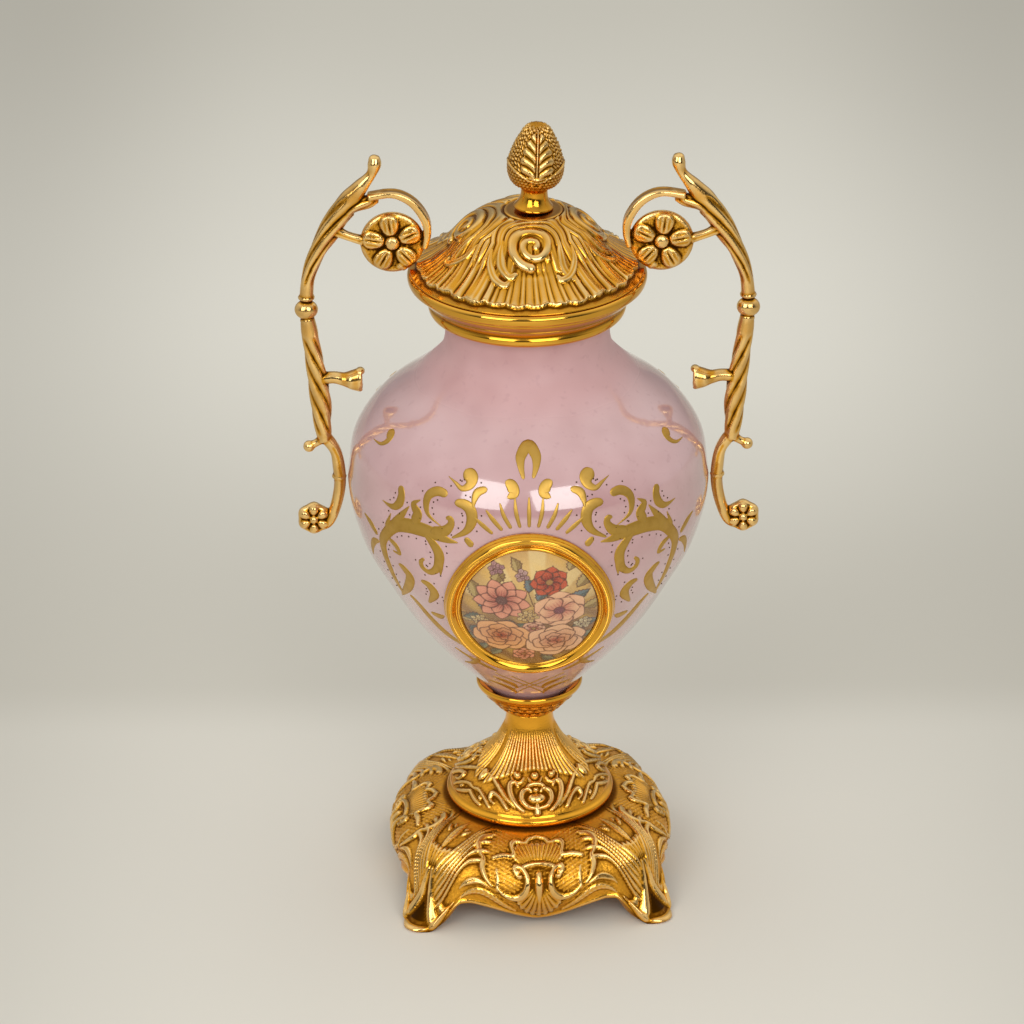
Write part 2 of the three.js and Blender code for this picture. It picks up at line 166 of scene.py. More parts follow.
class Outline:
    """A line of radius and height in mm, measured by the length along it.

    Attributes:
        line: rows of radius and height.
        reach: length from the start to each row.
        length: whole length.
    """

    SPAN = 0.3  # mm before and after a point, between which its normal is measured

    def __init__(self, line: Array) -> None:
        step = np.hypot(*np.diff(line, axis=0).T)
        apart = step > 1e-7
        self.line = line[np.concatenate([[True], apart])]
        self.reach = np.concatenate([[0.0], np.cumsum(step[apart])])
        self.length = float(self.reach[-1])

    def at(self, reach: Array | float) -> tuple[Array, Array]:
        """Returns radius and height at a length along the line."""
        return np.interp(reach, self.reach, self.line[:, 0]), np.interp(reach, self.reach, self.line[:, 1])

    def normal(self, reach: Array | float) -> tuple[Array, Array]:
        """Returns the outward unit normal, square to the line between two points beside it.

        Args:
            reach: length along the line.

        Returns:
            Its parts along radius and height.
        """
        reach = np.clip(reach, self.SPAN, self.length - self.SPAN)
        r0, z0 = self.at(reach - self.SPAN)
        r1, z1 = self.at(reach + self.SPAN)
        size = np.maximum(np.hypot(r1 - r0, z1 - z0), TINY)
        return (z1 - z0) / size, (r0 - r1) / size

    def above(self, reach: Array | float, azimuth: Array, rise: Array | float) -> Array:
        """Returns points at a rise over the turned line, along its normal.

        Args:
            reach: lengths along the line.
            azimuth: angles round the axis, in radians.
            rise: mm over the line.

        Returns:
            Points on a grid.
        """
        radius, height = self.at(reach)
        out, up = self.normal(reach)
        return around(radius + out * rise, azimuth, height + up * rise)

    def turned(self, reach: Array, azimuth: Array, rise: Array | float = 0.0) -> Array:
        """Turns the line round the axis.

        Args:
            reach: length along the line of each row.
            azimuth: azimuth of each column, in radians.
            rise: height of relief along the normal, one value for each row and column.

        Returns:
            Points of shape (rows, columns, 3).
        """
        return self.above(*np.broadcast_arrays(reach[:, None], azimuth[None, :]), rise)

    def height_reach(self, height: float) -> float:
        """Returns the length along the line where it first passes a height."""
        return float(self.reach[int(np.argmax(self.line[:, 1] >= height))])


def blurred(values: Array, passes: int) -> Array:
    """Softens a grid of values that wraps round in its columns.

    Each pass replaces a value by half itself and a quarter of both neighbours, first round the
    columns and then up the rows, whose ends repeat.

    Args:
        values: shape (rows, columns).
        passes: number of passes.

    Returns:
        The softened values.
    """
    soft = values.astype(float)
    for _ in range(passes):
        soft = (np.roll(soft, 1, 1) + 2.0 * soft + np.roll(soft, -1, 1)) / 4.0
        padded = np.pad(soft, ((1, 1), (0, 0)), mode="edge")
        soft = (padded[:-2] + 2.0 * soft + padded[2:]) / 4.0
    return soft


# The metal finishes paint shade where these values are high and a highlight where they are low.
def hollows(height: Array, depth: float) -> Array:
    """Returns how far each point of a relief lies below its surroundings, 0.5 when level.

    Args:
        height: relief of shape (rows, columns), in mm.
        depth: depth in mm that counts as a full hollow.

    Returns:
        Values from 0 on crests to 0.98 in grooves.
    """
    fine = blurred(height, 6) - height
    broad = blurred(height, 40) - height
    return np.clip(0.5 + 0.5 * (0.9 * fine + 0.5 * broad) / depth, 0.0, 0.98)


# ---- relief --------------------------------------------------------------------------------


def beside(path: Array, across: Array, along: Array) -> tuple[Array, Array, Array]:
    """Finds where points lie beside a strand.

    The strand is a chain of straight pieces. A point belongs to the piece whose centre line is
    nearest, counted in half widths, and the half width changes evenly along each piece.

    Args:
        path: rows of across, along and half width.
        across: first coordinate of the points.
        along: second coordinate of the points.

    Returns:
        Distance from the centre line in half widths, with a sign for the side; distance along
        the strand; and half width there.
    """
    best = np.full(across.shape, np.inf)
    side, run, half = np.ones_like(best), np.zeros_like(best), np.ones_like(best)
    start = 0.0
    for (ax, ay, aw), (bx, by, bw) in zip(path[:-1], path[1:]):
        dx, dy = bx - ax, by - ay
        length = max(math.hypot(dx, dy), TINY)
        share = np.clip(((across - ax) * dx + (along - ay) * dy) / length**2, 0.0, 1.0)
        width = np.maximum(aw + (bw - aw) * share, THINNEST)
        gap_x, gap_y = across - ax - share * dx, along - ay - share * dy
        distance = np.hypot(gap_x, gap_y) / width
        closer = distance < best
        best = np.where(closer, distance, best)
        side = np.where(closer, np.where(dx * gap_y - dy * gap_x < 0.0, -1.0, 1.0), side)
        run = np.where(closer, start + share * length, run)
        half = np.where(closer, width, half)
        start += length
    return best * side, run, half


class Canvas:
    """A patch of metal in flat millimetres, on which relief is laid.

    Attributes:
        across: distance of each grid point to the right of the motif's axis.
        along: distance of each grid point up the outline.
        height: relief laid so far, outward, in mm.
        polish: 1 where the metal is burnished and 0 on matt ground.
    """

    def __init__(self, across: Array, along: Array) -> None:
        self.across, self.along = np.broadcast_arrays(across, along)
        self.height = np.zeros(self.across.shape)
        self.polish = np.zeros(self.across.shape)

    def _lay(self, where: Array, height: Array, inside: Array, polish: float) -> None:
        """Puts a form over what is there: the higher of the two shows.

        Args:
            where: part of the grid.
            height: the form's height there.
            inside: where the form is.
            polish: its polish.
        """
        old = self.height[where]
        shown = inside & (height > old)
        self.height[where] = np.where(shown, height, old)
        self.polish[where] = np.where(shown, polish, self.polish[where])

    def strand(self, points: Points, rise: float, groove: float = 0.0, veins: float = 0.0,
            polish: float = 0.8, mirrored: bool = True) -> None:
        """Lays a rounded strand along a flowing line, with a narrow dip beside it.

        Its section is half an ellipse. Its rise falls with the square root of its half width.
        A groove runs along the middle, and veins slant from it to both edges.

        Args:
            points: rows of across, along and half width.
            rise: height in mm where the strand is widest.
            groove: depth of the middle groove as a share of the rise.
            veins: depth of the slanting veins as a share of the rise.
            polish: how burnished the strand is.
            mirrored: whether the same strand is laid on the left and on the right.
        """
        pitch, dip = 2.6, 0.45
        path = flowing(points, 6 * len(points) + 1)
        path[:, 2] = np.maximum(path[:, 2], THINNEST)
        widest = path[:, 2].max()
        moat = 1.0 + dip / widest
        for sign in (1.0, -1.0) if mirrored else (1.0,):
            line = path * [sign, 1.0, 1.0]
            low, high = line[:, :2].min(0) - widest * moat, line[:, :2].max(0) + widest * moat
            where = (self.across > low[0]) & (self.across < high[0])
            where &= (self.along > low[1]) & (self.along < high[1])
            if not where.any():
                continue
            share, run, half = beside(line, self.across[where], self.along[where])
            out = np.abs(share)
            slant = 0.5 + 0.5 * np.cos(TURN * (run / pitch - 0.9 * out))
            form = dome(share)
            form *= 1.0 - groove * hump(share, 0.25)
            form *= 1.0 - veins * slant * smooth(3.0 * out)
            flat = self.height[where]
            lowered = flat - 0.16 * rise * (flat < 0.3 * rise)
            self.height[where] = np.where((out >= 1.0) & (out < moat), lowered, flat)
            self._lay(where, rise * form * np.sqrt(half / widest) + 0.12, out < 1.0, polish)

    def fan(self, centre: tuple[float, float], middle: float, spread: float, inner: float, outer: float,
            side_outer: float, flutes: int, rise: float, scallop: float, polish: float) -> None:
        """Lays a shell of ridges that spread from a point.

        The ridges are the absolute value of a sine of the angle. The outer edge is an ellipse
        of angle between its two radii, notched between the ridges.

        Args:
            centre: point the ridges spread from.
            middle: direction of the shell's axis, in degrees from straight up.
            spread: half the shell's angle, in degrees.
            inner: radius where the ridges start.
            outer: radius of the edge on the axis.
            side_outer: radius of the edge at both sides.
            flutes: number of ridges.
            rise: height in mm of a ridge.
            scallop: depth of the notches as a share of the radius.
            polish: how burnished the shell is.
        """
        dx, dy = self.across - centre[0], self.along - centre[1]
        radius = np.hypot(dx, dy)
        angle = np.degrees(np.arctan2(dx, dy)) - middle
        share = ((angle + 180.0) % 360.0 - 180.0) / spread
        where = (np.abs(share) < 1.0) & (radius < max(outer, side_outer))
        share, radius = share[where], radius[where]
        ridge = ridged((share + 1.0) / 2.0 * flutes)
        edge = mix(outer, side_outer, share**2) * (1.0 - scallop * (1.0 - ridge))
        lip = hump((edge - radius - 0.5) / 0.9, 1.0)
        form = (0.35 + 0.65 * ridge) * smooth((radius - inner) / (0.3 * outer))
        form = np.maximum(form, 1.05 * lip) * smooth((edge - radius) / 0.5)
        self._lay(where, rise * form, (radius < edge) & (radius > inner), polish)

    def bead(self, across: float, along: float, radius: float, rise: float | None = None,
            squeeze: float = 1.0, mirrored: bool = True) -> None:
        """Lays a burnished round or oval boss: half an ellipsoid with a narrow dip round it.

        Args:
            across: place of its middle.
            along: place of its middle.
            radius: half its width.
            rise: height in mm, or its radius if none is given.
            squeeze: its height on the surface as a share of its width.
            mirrored: whether it is laid on both sides.
        """
        moat = 1.4
        for sign in (1.0, -1.0) if mirrored and across else (1.0,):
            share = np.hypot(self.across - sign * across, (self.along - along) / squeeze) / radius
            where = share < moat
            share = share[where]
            self.height[where] -= 0.2 * smooth((moat - share) / 0.2) * (share > 1.0)
            self._lay(where, dome(share) * (rise or radius) + 0.1, share < 1.0, 1.0)

    def stipple(self, depth: float, seed: int) -> None:
        """Roughens the matt ground with seeded noise as fine as the grid, in mm.

        Args:
            depth: mm.
            seed: of the noise.
        """
        noise = np.random.default_rng(seed).normal(size=self.height.shape)
        noise = noise + 1.2 * blurred(noise, 1)
        self.height += depth * 0.5 * noise * (1.0 - smooth(self.polish * 2.0))


# ---- meshes --------------------------------------------------------------------------------


@dataclass
class Skin:
    """A closed surface: its points in mm, its faces, and values painted on its points."""

    points: Array
    faces: list[Array]
    paint: dict[str, Array] = field(default_factory=dict)

    def mirrored(self) -> "Skin":
        """Returns the same skin seen in a mirror at X = 0, still facing outward."""
        return Skin(self.points * [-1.0, 1.0, 1.0], [face[:, ::-1] for face in self.faces], self.paint)

    def mesh(self, name: str, scale: float = 1.0) -> bpy.types.Mesh:
        """Returns a new mesh with the skin's points, scaled, and its faces.

        Args:
            name: the mesh's name.
            scale: what the points are multiplied by.

        Returns:
            The mesh.
        """
        mesh = bpy.data.meshes.new(name)
        faces = [row for block in self.faces for row in block.tolist()]
        mesh.from_pydata((self.points * scale).tolist(), [], faces)
        return mesh

    def build(self, name: str, material: Material, slot: str, replaced: Sequence[str] = ()) -> Object:
        """Args:
            name: the piece's name.
            material: its finish.
            slot: the record's material slot.
            replaced: CAD nodes that it stands for.

        Returns:
            The new object, at the origin, with its place in its mesh.
        """
        mesh = self.mesh(name, MM)
        mesh.polygons.foreach_set("use_smooth", np.ones(len(mesh.polygons), bool))
        for label, values in self.paint.items():
            values = np.asarray(values, np.float32)
            if values.ndim == 1:
                mesh.attributes.new(label, "FLOAT", "POINT").data.foreach_set("value", values)
            else:
                colour = np.column_stack([values, np.ones(len(values), np.float32)])
                mesh.attributes.new(label, "FLOAT_COLOR", "POINT").data.foreach_set("color", colour.ravel())
        mesh.update()
        mesh.materials.append(material)
        piece = placed(name, mesh)
        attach(piece, "root")
        if replaced:
            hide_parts(*replaced)
        triangles = sum(len(block) * (block.shape[1] - 2) for block in self.faces)
        LOG.info("%s: %d points, %d triangles, slot %s", name, len(self.points), triangles, slot)
        return piece


def placed(name: str, data: bpy.types.ID) -> Object:
    """Returns a new object of the given data, put into the scene.

    Args:
        name: the object's name.
        data: mesh, lamp or camera that it shows.

    Returns:
        The object.
    """
    item = bpy.data.objects.new(name, data)
    bpy.context.scene.collection.objects.link(item)
    return item


def joined(skins: Sequence[Skin]) -> Skin:
    """Puts several skins into one, side by side.

    Args:
        skins: closed skins with the same painted values.

    Returns:
        One skin.
    """
    start, faces = 0, []
    for skin in skins:
        faces += [block + start for block in skin.faces]
        start += len(skin.points)
    labels = skins[0].paint.keys()
    paint = {label: np.concatenate([skin.paint[label] for skin in skins]) for label in labels}
    return Skin(np.concatenate([skin.points for skin in skins]), faces, paint)


def wrapped(points: Array, paint: dict[str, Array] | None = None, ring: bool = False) -> Skin:
    """Closes a grid whose columns wrap round.

    Row and column numbers give each square's four corners. A ring's rows wrap round too; any
    other form closes on a point at the mean of its first row and one at that of its last row.

    Args:
        points: shape (rows, columns, 3). Seen from outside, columns run to the right and rows up.
        paint: values of shape (rows, columns), by name.
        ring: whether the last row joins the first.

    Returns:
        The closed skin.
    """
    rows, columns = points.shape[:2]
    number = np.arange(rows * columns).reshape(rows, columns)
    right = np.roll(number, -1, axis=1)
    above = np.roll(number, -1, axis=0) if ring else number[1:]
    above_right = np.roll(right, -1, axis=0) if ring else right[1:]
    count = len(above)
    quads = np.stack([number[:count], right[:count], above_right, above], axis=-1).reshape(-1, 4)
    flat, faces = points.reshape(-1, 3), [quads]
    painted = {label: values.reshape(-1) for label, values in (paint or {}).items()}
    if not ring:
        first, last = rows * columns, rows * columns + 1
        flat = np.concatenate([flat, points[:1].mean(1), points[-1:].mean(1)])
        low = np.stack([right[0], number[0], np.full(columns, first)], axis=-1)
        high = np.stack([number[-1], right[-1], np.full(columns, last)], axis=-1)
        faces.append(np.concatenate([low, high]))
        for label, values in (paint or {}).items():
            painted[label] = np.concatenate([painted[label], values[:1].mean(1), values[-1:].mean(1)])
    return Skin(flat, faces, painted)


def grid_normals(points: Array) -> Array:
    """Returns unit normals of a grid whose columns wrap round, facing outward."""
    right = np.roll(points, -1, 1) - np.roll(points, 1, 1)
    return unit(np.cross(right, np.gradient(points, axis=0)))


def azimuths(columns: int, turn: float = 0.0) -> Array:
    """Returns evenly spaced azimuths in radians, starting at a turn given in degrees."""
    return np.arange(columns) * (TURN / columns) + turn * DEGREE


def folded(azimuth: Array, centre: float, repeats: int) -> Array:
    """Returns the signed angle from the nearest of several evenly spaced axes, in radians."""
    period = TURN / repeats
    return (azimuth - centre * DEGREE + period / 2.0) % period - period / 2.0


# ---- finishes ------------------------------------------------------------------------------


class Slot(Enum):
    """Material slots of the record."""

    CAST = "cast_brass"
    POLISHED = "polished_brass"
    GLAZE = "pink_glaze"
    PLAQUE = "plaque_glaze"


class Nodes:
    """A node tree under construction."""

    def __init__(self, tree: bpy.types.NodeTree) -> None:
        self.tree = tree

    def feed(self, node: bpy.types.Node, inputs: dict[str | int, object]) -> None:
        """Gives a node its inputs: a socket is linked, and any other value is set.

        Args:
            node: the node.
            inputs: sockets or values by name or number.
        """
        for name, value in inputs.items():
            if isinstance(value, Socket):
                self.tree.links.new(value, node.inputs[name])
            else:
                node.inputs[name].default_value = value

    def add(self, kind: str, inputs: dict[str | int, object] | None = None,
            **settings: object) -> bpy.types.Node:
        """Adds a node.

        Args:
            kind: the node's type name.
            inputs: by socket name or number, a value or the output socket to link.
            settings: the node's own settings.

        Returns:
            The node.
        """
        node = self.tree.nodes.new(kind)
        for name, value in settings.items():
            setattr(node, name, value)
        self.feed(node, inputs or {})
        return node

    def maths(self, operation: str, first: object, second: object = 0.0, clamp: bool = False) -> Socket:
        """Returns the result of an arithmetic node."""
        node = self.add("ShaderNodeMath", {0: first, 1: second}, operation=operation, use_clamp=clamp)
        return node.outputs[0]

    def scaled(self, value: object, low: float, high: float, start: float, stop: float) -> Socket:
        """Returns a value moved from start and stop to low and high, smoothly and kept within them."""
        inputs = {"Value": value, "From Min": start, "From Max": stop, "To Min": low, "To Max": high}
        return self.add("ShaderNodeMapRange", inputs, interpolation_type="SMOOTHSTEP").outputs["Result"]

    def blend(self, share: object, low: object, high: object) -> Socket:
        """Returns the blend of two colours."""
        return self.add("ShaderNodeMix", {0: share, 6: low, 7: high}, data_type="RGBA").outputs[2]

    def noise(self, vector: object, scale: object, detail: float, roughness: float) -> Socket:
        """Returns the value of a noise pattern."""
        inputs = {"Vector": vector, "Scale": scale, "Detail": detail, "Roughness": roughness}
        return self.add("ShaderNodeTexNoise", inputs).outputs[0]

    def bump(self, height: object, strength: float, distance: float) -> Socket:
        """Returns normals tilted by a height."""
        inputs = {"Height": height, "Strength": strength, "Distance": distance}
        return self.add("ShaderNodeBump", inputs).outputs["Normal"]

    def attribute(self, name: str, output: str = "Fac") -> Socket:
        """Returns an attribute of the piece's points."""
        return self.add("ShaderNodeAttribute", attribute_name=name).outputs[output]

    def place(self) -> Socket:
        """Returns the piece's own coordinates, in metres."""
        return self.add("ShaderNodeTexCoord").outputs["Object"]

    def surface(self, inputs: dict[str | int, object]) -> None:
        """Feeds the material's shader."""
        self.feed(self.tree.nodes["Principled BSDF"], inputs)


def rgb(red: float, green: float, blue: float) -> Colour:
    """Returns an opaque colour from linear values."""
    return (red, green, blue, 1.0)


def new_material(name: str) -> tuple[Material, Nodes]:
    """Starts a material and returns it with its nodes.

    Args:
        name: the material's name.

    Returns:
        The material and a helper for its nodes.
    """
    material = bpy.data.materials.new(name)
    material.use_nodes = True
    return material, Nodes(material.node_tree)


def new_group(name: str, inputs: dict[str, object], outputs: dict[str, object]) -> tuple[bpy.types.NodeTree,
        Nodes]:
    """Starts a shader node group. A socket takes colours or numbers, as its value does.

    Args:
        name: the group's name.
        inputs: value of each input, by name.
        outputs: value of each output while nothing feeds it, by name.

    Returns:
        The group and the nodes inside it.
    """
    tree = bpy.data.node_groups.new(name, "ShaderNodeTree")
    for side, values in (("INPUT", inputs), ("OUTPUT", outputs)):
        for label, value in values.items():
            kind = "NodeSocketColor" if isinstance(value, tuple) else "NodeSocketFloat"
            socket = tree.interface.new_socket(name=label, in_out=side, socket_type=kind)
            socket.default_value = value
    return tree, Nodes(tree)


class MetalGroup:
    """Shared node group for gilded brass: a painted highlight on its crests and painted shade in its
    hollows.

    The hollow and polish attributes come from the relief. A broad noise shifts the colour of the
    lacquer, and a fine one makes the skin of the casting, which fades where the metal is burnished.
    """

    # Near black for the painted shade in the deepest hollows.
    DEEPEST_SHADE = rgb(0.02, 0.006, 0.0)
    INPUTS = {"Hollow": 0.5, "Polish": 0.5, "Cast Scale": 900.0, "Mottle Scale": 45.0,
        "Burnished Roughness": 0.1, "Matt Roughness": 0.4, "Bright": rgb(1.0, 0.7, 0.25),
        "Body": rgb(0.9, 0.55, 0.13), "Deep": rgb(0.2, 0.08, 0.01)}
    OUTPUTS = {"Colour": rgb(0.0, 0.0, 0.0), "Roughness": 0.0, "Height": 0.0}

    _tree: bpy.types.NodeTree | None = None

    @classmethod
    def tree(cls) -> bpy.types.NodeTree:
        """Returns the group, built on first use."""
        if cls._tree is None:
            cls._tree = cls._build()
        return cls._tree

    @classmethod
    def _build(cls) -> bpy.types.NodeTree:
        """Builds the group's nodes."""
        tree, nodes = new_group("GildedMetal", cls.INPUTS, cls.OUTPUTS)
        given = nodes.add("NodeGroupInput").outputs
        hollow, body, deep = given["Hollow"], given["Body"], given["Deep"]
        place = nodes.place()
        mottle = nodes.noise(place, given["Mottle Scale"], 4.0, 0.6)
        cast = nodes.noise(place, given["Cast Scale"], 2.0, 0.6)
        # Painted highlight: crests blend towards the bright colour. Painted shade: hollows blend towards
        # the deep colour, and the deepest towards near black.
        depth = nodes.scaled(hollow, 0.0, 1.0, 0.5, 0.98)
        crest = nodes.scaled(hollow, 1.0, 0.0, 0.1, 0.5)
        colour = nodes.blend(nodes.maths("MULTIPLY", crest, 0.7), body, given["Bright"])
        colour = nodes.blend(nodes.scaled(mottle, 0.0, 0.45, 0.4, 0.75), colour,
            nodes.blend(0.45, body, deep))
        colour = nodes.blend(depth, colour, deep)
        colour = nodes.blend(nodes.scaled(hollow, 0.0, 0.8, 0.98, 1.0), colour, cls.DEEPEST_SHADE)
        matt = nodes.maths("SUBTRACT", 1.0, given["Polish"], clamp=True)
        extra = nodes.maths("SUBTRACT", given["Matt Roughness"], given["Burnished Roughness"])
        rough = nodes.maths("ADD", nodes.maths("MULTIPLY", extra, matt), given["Burnished Roughness"])
        rough = nodes.maths("ADD", rough, nodes.scaled(mottle, -0.02, 0.07, 0.3, 0.75))
        rough = nodes.maths("ADD", rough, nodes.maths("MULTIPLY", depth, 0.3), clamp=True)
        skin = nodes.maths("MULTIPLY", cast, nodes.maths("ADD", nodes.maths("MULTIPLY", matt, 0.85), 0.15))
        nodes.add("NodeGroupOutput", {"Colour": colour, "Roughness": rough, "Height": skin})
        return tree


@dataclass(frozen=True)
class Metal:
    """A gilded brass finish. Colours are linear; scales are in patterns per metre."""

    name: str
    # bright is the colour of the painted highlight on crests, deep that of the painted shade in hollows.
    bright: Colour = rgb(1.0, 0.72, 0.32)
    body: Colour = rgb(0.9, 0.42, 0.036)
    deep: Colour = rgb(0.18, 0.062, 0.002)
    burnished: float = 0.1
    matt: float = 0.36
    cast_scale: float = 900.0
    mottle_scale: float = 45.0
    bump: float = 0.8
    bump_depth: float = 0.0004

    def material(self) -> Material:
        """Builds the material: the shared metal group drives colour, roughness and bump."""
        material, nodes = new_material(self.name)
        given = {"Hollow": nodes.attribute("hollow"), "Polish": nodes.attribute("polish"),
            "Cast Scale": self.cast_scale, "Mottle Scale": self.mottle_scale,
            "Burnished Roughness": self.burnished, "Matt Roughness": self.matt, "Bright": self.bright,
            "Body": self.body, "Deep": self.deep}
        metal = nodes.add("ShaderNodeGroup", given, node_tree=MetalGroup.tree()).outputs
        nodes.surface({"Metallic": 1.0, "Base Color": metal["Colour"], "Roughness": metal["Roughness"],
            "Normal": nodes.bump(metal["Height"], self.bump, self.bump_depth)})
        return material


@dataclass(frozen=True)
class Glaze:
    """The vessel's pink glaze: soft clouds of colour under a glassy coat that thins out at the neck."""

    name: str = "PinkGlaze"
    light: Colour = rgb(0.66, 0.415, 0.425)
    dark: Colour = rgb(0.53, 0.3, 0.305)
    speck: Colour = rgb(0.42, 0.22, 0.24)
    cloud_scale: float = 14.0
    speck_scale: float = 260.0
    roughness: float = 0.16
    neck_roughness: float = 0.35
    coat_roughness: float = 0.06
    coat_index: float = 1.95
    ripple: float = 0.05

    def material(self) -> Material:
        """Builds the material from two noises, with a faint ripple in the glaze."""
        material, nodes = new_material(self.name)
        place = nodes.place()
        height = nodes.add("ShaderNodeSeparateXYZ", {0: place}).outputs["Z"]
        cloud = nodes.noise(place, self.cloud_scale, 3.0, 0.6)
        speck = nodes.noise(place, self.speck_scale, 2.0, 0.5)
        colour = nodes.blend(nodes.scaled(cloud, 0.0, 1.0, 0.32, 0.7), self.light, self.dark)
        colour = nodes.blend(nodes.scaled(speck, 0.0, 0.22, 0.58, 0.75), colour, self.speck)
        rough = nodes.scaled(cloud, self.roughness, self.roughness + 0.08, 0.3, 0.8)
        neck = nodes.scaled(height, 0.0, self.neck_roughness, 0.284, 0.304)
        nodes.surface({"Base Color": colour, "Roughness": nodes.maths("ADD", rough, neck),
            "Specular IOR Level": 0.5, "Coat Roughness": self.coat_roughness, "Coat IOR": self.coat_index,
            "Coat Weight": nodes.scaled(height, 1.0, 0.0, 0.282, 0.3), "Normal": nodes.bump(cloud,
            self.ripple, 0.002)})
        return material


@dataclass(frozen=True)
class PaintedPlaque:
    """The medallion's picture, painted on its points, under a fired glaze with a fine crackle."""

    name: str = "PlaqueGlaze"
    tooth_colour: Colour = rgb(0.5, 0.3, 0.14)
    crackle_colour: Colour = rgb(0.25, 0.13, 0.06)
    crackle_scale: float = 330.0
    tooth_scale: float = 1500.0

    def material(self) -> Material:
        """Builds the material: painted colour, paper-like tooth and crackle lines."""
        material, nodes = new_material(self.name)
        place = nodes.place()
        tooth = nodes.noise(place, self.tooth_scale, 2.0, 0.6)
        cells = nodes.add("ShaderNodeTexVoronoi", {"Vector": place, "Scale": self.crackle_scale},
            feature="DISTANCE_TO_EDGE").outputs["Distance"]
        paint = nodes.attribute("paint", "Color")
        colour = nodes.blend(nodes.scaled(tooth, 0.0, 0.18, 0.45, 0.8), paint, self.tooth_colour)
        colour = nodes.blend(nodes.scaled(cells, 0.16, 0.0, 0.0, 0.04), colour, self.crackle_colour)
        nodes.surface({"Base Color": colour, "Roughness": nodes.scaled(tooth, 0.2, 0.34, 0.3, 0.8),
            "Coat Weight": 0.35, "Coat Roughness": 0.1, "Normal": nodes.bump(tooth, 0.12, 0.0001)})
        return material


CAST_BRASS = Metal("CastBrass")
HANDLE_BRASS = Metal("HandleBrass", body=rgb(0.74, 0.345, 0.03), deep=rgb(0.11, 0.037, 0.001))
LID_BRASS = Metal("LidBrass", rgb(1.0, 0.76, 0.36), rgb(0.8, 0.375, 0.032), rgb(0.15, 0.05, 0.001),
    burnished=0.1, matt=0.21, bump=0.2)
POLISHED_BRASS = Metal("PolishedBrass", rgb(1.0, 0.7, 0.3), rgb(0.84, 0.42, 0.04), rgb(0.12, 0.04, 0.001),
    burnished=0.06, matt=0.15, bump=0.05, mottle_scale=22.0)
GILDING = Metal("PaintedGilding", rgb(0.72, 0.46, 0.13), rgb(0.56, 0.33, 0.06), rgb(0.3, 0.15, 0.02),
    burnished=0.34, matt=0.5, bump=0.08, mottle_scale=160.0)
OUTLINE_ENAMEL = Metal("OutlineEnamel", rgb(0.2, 0.1, 0.04), rgb(0.1, 0.05, 0.02), rgb(0.03, 0.015, 0.01),
    burnished=0.3, matt=0.45)


# ---- base ----------------------------------------------------------------------------------


